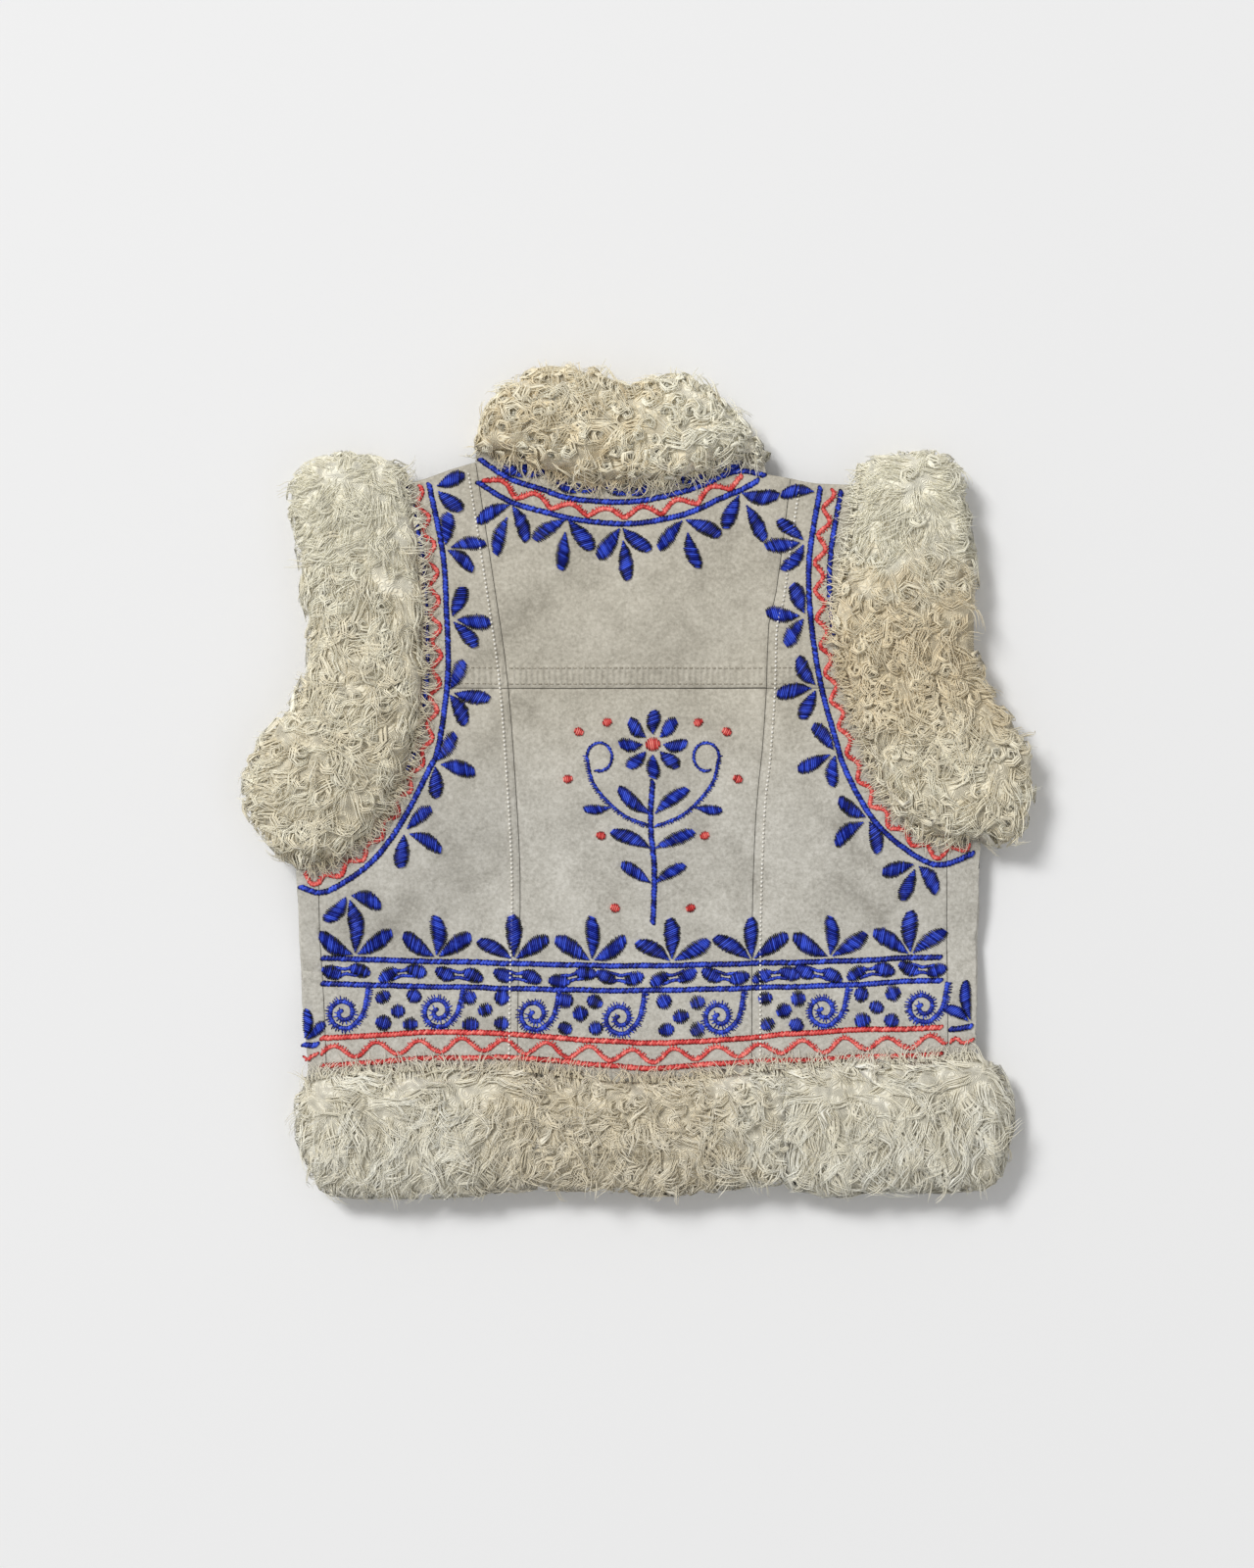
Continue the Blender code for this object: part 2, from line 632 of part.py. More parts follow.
def side_lower_outline(side):
    sign = SIDES[side]
    seam = part_of(part_of(moved(PRINCESS[side], x=sign * SEAM / 2), below_yoke_seam), above_hem)
    edge = moved(SIDE[side], x=-sign * SEAM / 2)
    edge = part_of(edge, lambda spot: at_width(ARMHOLE_CUT[side], spot.x) - spot.y)
    edge = part_of(edge, above_hem)
    armhole = part_of(ARMHOLE_CUT[side], below_yoke_seam)
    armhole = part_of(armhole, lambda spot: sign * (edge[0].x - spot.x))
    hem = part_of(HEM_CUT, lambda spot: sign * (edge[-1].x - spot.x))
    hem = part_of(hem, lambda spot: sign * (spot.x - seam[-1].x))
    if side == "right":
        hem = hem[::-1]
    return loop(armhole, edge, hem, seam[::-1])


def stand_outline():
    """The band between the neck seam and the collar's cut edge, which the wool mostly covers."""
    seam = moved(NECK, y=SEAM / 2)
    top = part_of(COLLAR_CUT, lambda spot: spot.x - seam[0].x - STAND_START)
    return loop(seam, top[::-1])


# Wool strips


def heights_at(section, corner, number):
    """The height of one corner of a wool strip's section."""
    lump = 1 + LUMP / WOOL_HEIGHT * math.sin(LUMP_PITCH * number + LUMP_SHIFT * corner.way)
    top = WOOL_HEIGHT * section.height * lump
    suede_top = LAYER_AT_TRIM + LAYER_GAP / 2 + SUEDE + CLEAR
    joint = LAYER_AT_TRIM + CLEAR / 2
    return {
        "suede": suede_top,
        "joint": joint + corner.rise * top,
        "floor": corner.rise * (joint + top),
        "below": corner.rise * (LAYER_AT_TRIM - CLEAR / 2),
        "under_suede": LAYER_AT_TRIM - LAYER_GAP / 2 - SUEDE - CLEAR,
    }[corner.base]


def square_to_cut(sections, number):
    """The direction square to the cut edge, at one section."""
    before = sections[max(number - 1, 0)]
    after = sections[min(number + 1, len(sections) - 1)]
    run = Vector((after.cut_x - before.cut_x, after.cut_y - before.cut_y)).normalized()
    return Vector((run.y, -run.x))


def away_from_suede(sections):
    """1 or -1, to turn square_to_cut towards the wool's outer edge all along a strip."""
    middle = len(sections) // 2
    section = sections[middle]
    across = Vector((section.outer_x - section.cut_x, section.outer_y - section.cut_y))
    return math.copysign(1.0, square_to_cut(sections, middle).dot(across))


def wool_section(sections, number, profile, inset):
    """One ring of a wool strip."""
    section = sections[number]
    lip = Vector((section.lip_x, section.lip_y))
    edge = Vector((section.cut_x, section.cut_y))
    outer = Vector((section.outer_x, section.outer_y))
    outer -= (outer - edge).normalized() * inset
    outward = square_to_cut(sections, number) * away_from_suede(sections)
    ring = []
    for corner in profile:
        if corner.way <= 1:
            flat = lip.lerp(edge, corner.way)
        else:
            flat = edge.lerp(outer, corner.way - 1)
        flat = flat + outward * STEP_OUT * corner.past
        ring.append(Vector((*flat, heights_at(section, corner, number))))
    return ring


def rounded_end(ring, neighbour):
    """A smaller ring past the last one of a free end, on the same base."""
    middle = sum(ring, Vector()) / len(ring)
    reach = middle - sum(neighbour, Vector()) / len(neighbour)
    reach = Vector((reach.x, reach.y, 0)).normalized() * END_REACH
    end = []
    for point in ring:
        lowered = END_SHARE if point.z > END_LOWERED_FROM else 1.0
        level = LAYER_AT_TRIM + (point.z - LAYER_AT_TRIM) * lowered
        flat = middle.lerp(point, END_SHARE)
        end.append(Vector((flat.x + reach.x, flat.y + reach.y, level)))
    return end


def wool_strip(name, sections, profile, finish, collection, inset=0.0, free_ends=(True, True)):
    """A strip of wool as a loft through its sections, closed at both ends."""
    wool = bmesh.new()
    points = [wool_section(sections, number, profile, inset) for number in range(len(sections))]
    if free_ends[0]:
        points.insert(0, rounded_end(points[0], points[1]))
    if free_ends[1]:
        points.append(rounded_end(points[-1], points[-2]))
    rings = [[wool.verts.new(point) for point in ring] for ring in points]
    for first, second in zip(rings, rings[1:]):
        for corner in range(len(first)):
            following = (corner + 1) % len(first)
            wool.faces.new((first[corner], first[following], second[following], second[corner]))
    wool.faces.new(rings[0][::-1])
    wool.faces.new(rings[-1])
    bmesh.ops.triangulate(wool, faces=wool.faces)
    return place(name, wool, finish, collection)


def at_cut_x(sections, x):
    """A section of the hem, worked out where its cut edge has a given x."""
    for a, b in zip(sections, sections[1:]):
        if a.cut_x <= x <= b.cut_x:
            share = (x - a.cut_x) / (b.cut_x - a.cut_x)
            return Section(*[p + (q - p) * share for p, q in zip(a, b)])
    return sections[-1]


def hem_stretch(start_x, end_x):
    """The hem's sections between two joins, each half a seam gap from its join."""
    inner = [row for row in HEM_SECTIONS if start_x + JOIN_ROOM < row.cut_x < end_x - JOIN_ROOM]
    if start_x > HEM[0].cut_x:
        inner = [at_cut_x(HEM_SECTIONS, start_x + SEAM / 2), *inner]
    else:
        inner = [HEM_SECTIONS[0], *inner]
    if end_x < HEM[-1].cut_x:
        inner = [*inner, at_cut_x(HEM_SECTIONS, end_x - SEAM / 2)]
    else:
        inner = [*inner, HEM_SECTIONS[-1]]
    return inner


def build_back(collection):
    back_piece("back_yoke", yoke_outline(), collection)
    back_piece("back_center", center_outline(), collection)
    back_piece("collar_stand", stand_outline(), collection)
    for side in SIDES:
        back_piece("back_side_" + side + "_upper", side_upper_outline(side), collection)
        back_piece("back_side_" + side + "_lower", side_lower_outline(side), collection)


def build_fronts(collection):
    for side in SIDES:
        front_piece("front_" + side, side, collection)


def build_wool(collection):
    wool_strip("collar_wool_back", COLLAR_SECTIONS, ROLL_PROFILE, "wool_tan", collection)
    for side in SIDES:
        arm = ARMHOLE_SECTIONS[side]
        neck = FRONT_NECK_SECTIONS[side]
        wool_strip(
            "collar_wool_front_" + side, neck, LOWER_PROFILE, "wool_tan", collection,
            free_ends=(False, False),
        )
        wool_strip("armhole_wool_" + side + "_back", arm, UPPER_PROFILE, "wool_cream", collection)
        wool_strip(
            "armhole_wool_" + side + "_front", arm, LOWER_PROFILE, "wool_cream", collection, LOWER_INSET,
        )
    left, right = HEM[0].cut_x, HEM[-1].cut_x
    back_strips = [
        ("left", left, HEM_JOIN_LEFT_X, "wool_cream", (True, False)),
        ("center", HEM_JOIN_LEFT_X, HEM_JOIN_RIGHT_X, "wool_tan", (False, False)),
        ("right", HEM_JOIN_RIGHT_X, right, "wool_white", (False, True)),
    ]
    for place_name, start, end, finish, free in back_strips:
        wool_strip(
            "hem_wool_back_" + place_name, hem_stretch(start, end), UPPER_PROFILE, finish, collection,
            free_ends=free,
        )
    front_strips = [
        ("left", left, FRONT_OPENING_X, (True, False)),
        ("right", FRONT_OPENING_X, right, (False, True)),
    ]
    for place_name, start, end, free in front_strips:
        wool_strip(
            "hem_wool_front_" + place_name, hem_stretch(start, end), LOWER_PROFILE, "wool_cream",
            collection, LOWER_INSET, free,
        )


def main():
    clear_scene()
    collection = bpy.data.collections.new("folk_vest")
    bpy.context.scene.collection.children.link(collection)
    build_back(collection)
    build_fronts(collection)
    build_wool(collection)


main()
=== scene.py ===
import json
import math
import random

import bmesh
import bpy
import numpy as np
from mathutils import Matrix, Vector, noise
from mathutils.bvhtree import BVHTree
from mathutils.kdtree import KDTree

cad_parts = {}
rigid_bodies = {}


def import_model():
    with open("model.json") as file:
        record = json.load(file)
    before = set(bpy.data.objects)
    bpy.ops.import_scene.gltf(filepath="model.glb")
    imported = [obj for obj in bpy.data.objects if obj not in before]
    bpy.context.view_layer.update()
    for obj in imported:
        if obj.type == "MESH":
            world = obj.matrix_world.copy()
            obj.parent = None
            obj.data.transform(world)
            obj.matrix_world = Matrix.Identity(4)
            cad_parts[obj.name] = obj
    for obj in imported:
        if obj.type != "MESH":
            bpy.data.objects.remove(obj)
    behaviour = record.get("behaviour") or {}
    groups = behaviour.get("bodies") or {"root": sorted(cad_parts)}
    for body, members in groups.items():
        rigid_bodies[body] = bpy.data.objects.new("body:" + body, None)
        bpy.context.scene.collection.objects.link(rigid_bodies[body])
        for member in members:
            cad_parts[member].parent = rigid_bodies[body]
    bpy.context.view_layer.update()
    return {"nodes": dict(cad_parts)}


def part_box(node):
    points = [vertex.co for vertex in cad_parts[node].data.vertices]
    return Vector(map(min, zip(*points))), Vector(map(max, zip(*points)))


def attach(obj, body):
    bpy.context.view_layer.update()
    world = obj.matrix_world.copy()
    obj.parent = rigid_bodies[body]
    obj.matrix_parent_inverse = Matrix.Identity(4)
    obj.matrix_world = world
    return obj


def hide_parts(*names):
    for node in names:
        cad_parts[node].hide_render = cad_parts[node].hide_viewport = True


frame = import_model()
nodes = frame["nodes"]
mm = 0.001
print("frame loaded:", len(nodes), "solids")


# Shared helpers

def hexColor(code):  # sRGB hex to linear
    parts = [int(code[i:i + 2], 16) / 255 for i in (1, 3, 5)]
    return tuple(c / 12.92 if c <= 0.04045 else ((c + 0.055) / 1.055) ** 2.4 for c in parts) + (1.0,)


def addNode(tree, kind, values=None, links=None, **settings):
    node = tree.nodes.new(kind)
    for name, value in settings.items():
        setattr(node, name, value)
    for socket, value in (values or {}).items():
        node.inputs[socket].default_value = value
    for socket, source in (links or {}).items():
        tree.links.new(source, node.inputs[socket])
    return node


def newMaterial(name, roughness, sheen=0.0, specular=0.5):
    material = bpy.data.materials.new(name)
    material.use_nodes = True
    shader = material.node_tree.nodes["Principled BSDF"]
    shader.inputs["Roughness"].default_value = roughness
    shader.inputs["Sheen Weight"].default_value = sheen
    shader.inputs["Sheen Roughness"].default_value = 0.45
    shader.inputs["Specular IOR Level"].default_value = specular
    return material, material.node_tree, shader


def setRamp(node, stops):
    ramp = node.color_ramp
    while len(ramp.elements) < len(stops):
        ramp.elements.new(0.5)
    for element, (place, color) in zip(ramp.elements, stops):
        element.position = place
        element.color = hexColor(color) if isinstance(color, str) else (color, color, color, 1.0)


def meshObject(name, mesh, material=None):
    piece = bpy.data.objects.new(name, mesh)
    bpy.context.scene.collection.objects.link(piece)
    if material:
        mesh.materials.clear()
        mesh.materials.append(material)
    return piece


def copyOfNode(name, newName):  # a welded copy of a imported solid
    mesh = nodes[name].data.copy()
    shape = bmesh.new()
    shape.from_mesh(mesh)
    bmesh.ops.remove_doubles(shape, verts=shape.verts, dist=2e-6)
    for face in shape.faces:
        face.smooth = True
    shape.to_mesh(mesh)
    shape.free()
    for attribute in [a.name for a in mesh.attributes if a.name == "custom_normal"]:
        mesh.attributes.remove(mesh.attributes[attribute])
    return meshObject(newName, mesh)


def baked(piece, material=None):  # modifiers turned into a plain mesh
    bpy.context.view_layer.update()
    graph = bpy.context.evaluated_depsgraph_get()
    mesh = bpy.data.meshes.new_from_object(piece.evaluated_get(graph), depsgraph=graph)
    piece.modifiers.clear()
    old = piece.data
    piece.data = mesh
    bpy.data.meshes.remove(old)
    mesh.name = piece.name
    if material:
        mesh.materials.clear()
        mesh.materials.append(material)
    return piece


def setInput(modifier, tree, name, value):  # by the socket's identifier
    for item in tree.interface.items_tree:
        if item.item_type == "SOCKET" and item.in_out == "INPUT" and item.name == name:
            modifier[item.identifier] = value


def smoothPath(points, pitch):  # Catmull-Rom through a few points, resampled to even steps
    fine = []
    for i in range(len(points) - 1):
        p0, p1, p2, p3 = (np.array(points[j]) for j in (max(i - 1, 0), i, i + 1, min(i + 2, len(points) - 1)))
        for t in np.linspace(0, 1, 12, endpoint=False):
            fine.append(0.5 * (2 * p1 + (p2 - p0) * t + (2 * p0 - 5 * p1 + 4 * p2 - p3) * t ** 2
                               + (3 * p1 - p0 - 3 * p2 + p3) * t ** 3))
    fine.append(np.array(points[-1]))
    fine = np.array(fine)
    run = np.concatenate([[0], np.cumsum(np.hypot(*np.diff(fine, axis=0).T))])
    count = max(2, int(round(run[-1] / pitch)) + 1)
    places = np.linspace(0, run[-1], count)
    return np.stack([np.interp(places, run, fine[:, axis]) for axis in (0, 1)], axis=1)


def offsetPath(path, distance):  # to the left of the way that the path runs
    run = np.gradient(path, axis=0)
    run /= np.hypot(run[:, 0], run[:, 1])[:, None]
    return path + distance * np.stack([-run[:, 1], run[:, 0]], axis=1)


# Camera, floor and light: straight down, as the picture was taken

view = {"centreX": -7.4, "centreY": -1.2, "tall": 992.0, "lens": 80.0, "sensor": 36.0, "subjectHeight": 16.0}

camera = bpy.data.objects.new("pictureCamera", bpy.data.cameras.new("pictureCamera"))
camera.data.sensor_fit = "VERTICAL"
camera.data.sensor_height = view["sensor"]
camera.data.lens = view["lens"]
reach = view["tall"] / view["sensor"] * view["lens"] + view["subjectHeight"]
camera.location = (view["centreX"] * mm, view["centreY"] * mm, reach * mm)
camera.data.clip_end = 20.0
bpy.context.scene.collection.objects.link(camera)
bpy.context.scene.camera = camera

studio = {
    "floor": "#F0F0F0", "floorSize": 8.0, "floorZ": -0.0004, "sky": 0.44,
    "key": 1640.0, "keySize": 4.0, "keyPlace": (-7.2, 7.5, 11.4),
    "fill": 10.0, "fillSize": 3.0, "fillPlace": (2.8, -2.6, 4.0),
}

bpy.ops.mesh.primitive_plane_add(size=studio["floorSize"], location=(0, 0, studio["floorZ"]))
floor = bpy.context.object
floor.name = "floor"
floor.data.transform(floor.matrix_world)
floor.matrix_world.identity()
# White paper: matt, so it takes the soft shadow and no shine
floorMaterial, tree, shader = newMaterial("paperSweep", 0.9, specular=0.2)
shader.inputs["Base Color"].default_value = hexColor(studio["floor"])
floor.data.materials.append(floorMaterial)

world = bpy.context.scene.world or bpy.data.worlds.new("world")
bpy.context.scene.world = world
world.use_nodes = True
world.node_tree.nodes["Background"].inputs["Color"].default_value = (1, 1, 1, 1)
world.node_tree.nodes["Background"].inputs["Strength"].default_value = studio["sky"]
bpy.context.scene.view_settings.view_transform = "Standard"


def softBox(name, place, size, power):
    light = bpy.data.objects.new(name, bpy.data.lights.new(name, "AREA"))
    light.data.size = size
    light.data.energy = power
    light.location = place
    light.rotation_euler = (-Vector(place)).to_track_quat("-Z", "Y").to_euler()
    bpy.context.scene.collection.objects.link(light)


softBox("keyLight", studio["keyPlace"], studio["keySize"], studio["key"])
softBox("fillLight", studio["fillPlace"], studio["fillSize"], studio["fill"])
print("camera and light placed")


# Suede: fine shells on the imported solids, rounded between the laying creases and puffed at the seams

suede = {
    "pitch": 4.0, "frontPitch": 11.0, "blur": 9.0, "puff": 0.55, "puffAt": 7.0, "ripple": 0.35, "ripplePitch": 46.0,
    "deepest": -0.9, "fallsThrough": 2.2, "gapDepth": 1.6, "gapReach": 0.9, "gapLift": 0.6,
    "foldFrom": 190, "foldAcross": range(192, 218, 3), "foldAlong": range(-200, -20, 4),
}

backNodes = [
    "back_yoke", "back_center", "back_side_left_upper", "back_side_left_lower", "back_side_right_upper",
    "back_side_right_lower", "collar_stand",
]
frontNodes = ["front_left", "front_right"]


def treeOf(names, keep):
    corners, triangles = [], []
    for name in names:
        mesh = nodes[name].data
        mesh.calc_loop_triangles()
        start = len(corners)
        corners.extend(vert.co.copy() for vert in mesh.vertices)
        for triangle in mesh.loop_triangles:
            if keep(triangle.normal, triangle.center):
                triangles.append([start + i for i in triangle.vertices])
    return BVHTree.FromPolygons(corners, triangles)


topTree = treeOf(backNodes + frontNodes, lambda normal, centre: normal.z > 0.3)


def rawTop(x, y):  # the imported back's upper face, in millimetres, or None past its edge
    hit = topTree.ray_cast(Vector((x * mm, y * mm, 1.0)), Vector((0, 0, -1)))
    return hit[0].z / mm if hit[0] else None


mapPitch = 4.0
mapX = np.arange(-248, 249, mapPitch)
mapY = np.arange(-216, 229, mapPitch)
heights = np.full((len(mapX), len(mapY)), np.nan)
for i, x in enumerate(mapX):
    for j, y in enumerate(mapY):
        found = rawTop(x + 0.13, y + 0.07)  # a little off the round numbers, where the solids have their edges
        if found is not None:
            heights[i, j] = found

# A ray that falls through a seam lands on the layer below, so samples far under their neighbours go
padded = np.pad(heights, 1, constant_values=np.nan)
around = np.stack([padded[1 + a:padded.shape[0] - 1 + a, 1 + b:padded.shape[1] - 1 + b]
                   for a in (-1, 0, 1) for b in (-1, 0, 1)])
highest = np.nanmax(np.where(np.isnan(around), -1.0, around), axis=0)
heights[heights < highest - suede["fallsThrough"]] = np.nan


def blurred(values, sigma):
    reachSteps = int(3 * sigma) + 1
    kernel = np.exp(-0.5 * (np.arange(-reachSteps, reachSteps + 1) / sigma) ** 2)
    for axis in (0, 1):
        values = np.apply_along_axis(lambda row: np.convolve(row, kernel, mode="same"), axis, values)
    return values


known = ~np.isnan(heights)
smoothHeights = blurred(np.where(known, heights, 0.0), suede["blur"] / mapPitch)
smoothHeights /= np.maximum(blurred(known.astype(float), suede["blur"] / mapPitch), 1e-9)


def mapAt(grid, x, y):
    across = min(max((x - mapX[0]) / mapPitch, 0), len(mapX) - 1.001)
    along = min(max((y - mapY[0]) / mapPitch, 0), len(mapY) - 1.001)
    i, j = int(across), int(along)
    u, v = across - i, along - j
    return ((grid[i, j] * (1 - u) + grid[i + 1, j] * u) * (1 - v)
            + (grid[i, j + 1] * (1 - u) + grid[i + 1, j + 1] * u) * v)


def seamPoints():  # the walls of the back's panels, as points in plan
    places = []
    for name in backNodes:
        mesh = nodes[name].data
        mesh.calc_loop_triangles()
        for triangle in mesh.loop_triangles:
            if abs(triangle.normal.z) < 0.2:
                corners = [mesh.vertices[i].co.xy for i in triangle.vertices]
                for a, b in zip(corners, corners[1:] + corners[:1]):
                    steps = max(1, int((a - b).length / (1.5 * mm)))
                    places.extend(a.lerp(b, step / steps) for step in range(steps))
    return places


seamPlaces = seamPoints()
seamTree = KDTree(len(seamPlaces))
for index, place in enumerate(seamPlaces):
    seamTree.insert((place.x, place.y, 0), index)
seamTree.balance()


def seamDistance(x, y):  # millimetres to the nearest seam or edge
    return seamTree.find((x * mm, y * mm, 0))[2] / mm


# Soft creases from wear: from, to, half their width and their rise (a trough's is below zero)
creases = [
    (-45, 130, -82, 95, 10, -0.8), (60, 153, 40, 118, 10, -0.6), (-2, 134, -5, 82, 13, 0.55),
    (-108, 75.5, -87, 80, 4, -0.55), (59, -40, 75, -64, 6, -0.65), (34, -22, 54, -58, 7, -0.5),
    (-54, 5, -50, -76, 13, 0.5), (-70, 43, -44, 23, 7, -0.45), (104, -1, 141, -47, 8, -0.75),
    (128, -62, 157, -88, 6, -0.65), (-130, -31, -114, -42, 6, -0.6), (-163, -101, -143, -75, 7, -0.6),
    (-104, -66, -99, -93, 6, -0.5), (10, -78, 19, -97, 5, -0.4), (112, 12, 99, 30, 6, -0.4),
]


def creaseRise(x, y):
    rise = 0.0
    for fromX, fromY, toX, toY, wide, high in creases:
        runX, runY = toX - fromX, toY - fromY
        share = ((x - fromX) * runX + (y - fromY) * runY) / (runX ** 2 + runY ** 2)
        share = min(max(share, 0.0), 1.0)
        away = math.hypot(x - fromX - share * runX, y - fromY - share * runY)
        if away < 3 * wide:
            rise += high * math.exp(-(away / wide) ** 2)
    return max(rise, suede["deepest"])


def softRise(x, y, fromSeam):  # puffs beside the seams, slow ripples in the skin, and the creases
    puff = suede["puff"] * (1 - math.exp(-(fromSeam / suede["puffAt"]) ** 2))
    pitch = suede["ripplePitch"]
    ripple = noise.noise(Vector((x / pitch, y / pitch, 3.0))) + 0.5 * noise.noise(Vector((x / 19, y / 23, 8.0)))
    return puff + suede["ripple"] * ripple * min(fromSeam / 8.0, 1.0) + creaseRise(x, y)


def clothTop(x, y):
    return mapAt(smoothHeights, x, y) + softRise(x, y, seamDistance(x, y))


def cutAt(shape, axis, value, keep=None):
    faces = [f for f in shape.faces if keep is None or keep(f.calc_center_median())]
    geometry = [v for f in faces for v in f.verts] + [e for f in faces for e in f.edges] + faces
    geometry = dict.fromkeys(geometry)  # each once, in an order that is the same in each run
    normal = [0.0, 0.0, 0.0]
    normal[axis] = 1.0
    place = [0.0, 0.0, 0.0]
    place[axis] = value * mm
    bmesh.ops.bisect_plane(shape, geom=list(geometry), dist=2e-5, plane_co=place, plane_no=normal)


def fineShell(name, pieceName, pitch, fold=False):
    piece = copyOfNode(name, pieceName)
    shape = bmesh.new()
    shape.from_mesh(piece.data)
    low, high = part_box(name)
    for axis in (0, 1):
        start = math.ceil(low[axis] / mm / pitch)
        for step in range(start, int(high[axis] / mm / pitch) + 1):
            cutAt(shape, axis, step * pitch)
    if fold:  # the strip above the side fold shows, so it is as fine as the back
        edge = suede["foldFrom"] * mm
        for value in suede["foldAcross"]:
            cutAt(shape, 0, math.copysign(value, low.x + high.x), lambda centre: abs(centre.x) > edge)
        for value in suede["foldAlong"]:
            cutAt(shape, 1, value, lambda centre: abs(centre.x) > edge)
    seam = shape.verts.layers.float.new("seamDistance")
    crease = shape.verts.layers.float.new("crease")
    for vert in shape.verts:
        x, y = vert.co.x / mm, vert.co.y / mm
        raw = rawTop(x, y)
        fromSeam = seamDistance(x, y)
        vert[seam] = fromSeam
        # the crease's rise is kept for the suede colour, which paints shade in troughs and light on ridges
        vert[crease] = creaseRise(x, y)
        lift = mapAt(smoothHeights, x, y) - raw if raw is not None and not math.isnan(raw) else 0.0
        if abs(lift) > suede["gapDepth"]:  # under a seam's gap or past the edge
            beside = (-suede["gapReach"], suede["gapReach"])
            near = [rawTop(x + a, y + b) for a in beside for b in beside]
            near = [n for n in near if n is not None]
            lift = mapAt(smoothHeights, x, y) - max(near) if near else 0.0
            lift = max(-suede["gapLift"], min(suede["gapLift"], lift))
        rise = softRise(x, y, fromSeam) if not fold else 0.0
        vert.co.z = max(vert.co.z + (lift + rise) * mm, 0.0)
    shape.to_mesh(piece.data)
    shape.free()
    piece.data.shade_smooth()
    piece.data.set_sharp_from_angle(angle=math.radians(50))
    return piece


# Napped suede: a split skin with the flesh side out, matt, with soft finger marks in the nap
suedeLook = {
    "dark": "#A09A8C", "mid": "#BDB7A8", "light": "#D2CCBD", "stops": (0.41, 0.57, 0.71), "seam": "#6E675B",
    "cooler": (1.0, 1.03, 1.1), "coolerFrom": 70, "coolerTo": -40,
    "smudge": 34.0, "strokes": 6.0, "nap": 2.2, "grain": 0.45,
    "smudgeShare": 0.38, "strokesShare": 0.26, "napShare": 0.50, "creaseShading": 0.11,
    "bandLow": (60.0, 63.5), "bandTop": (73.2, 74.8), "pucker": 3.7,
}


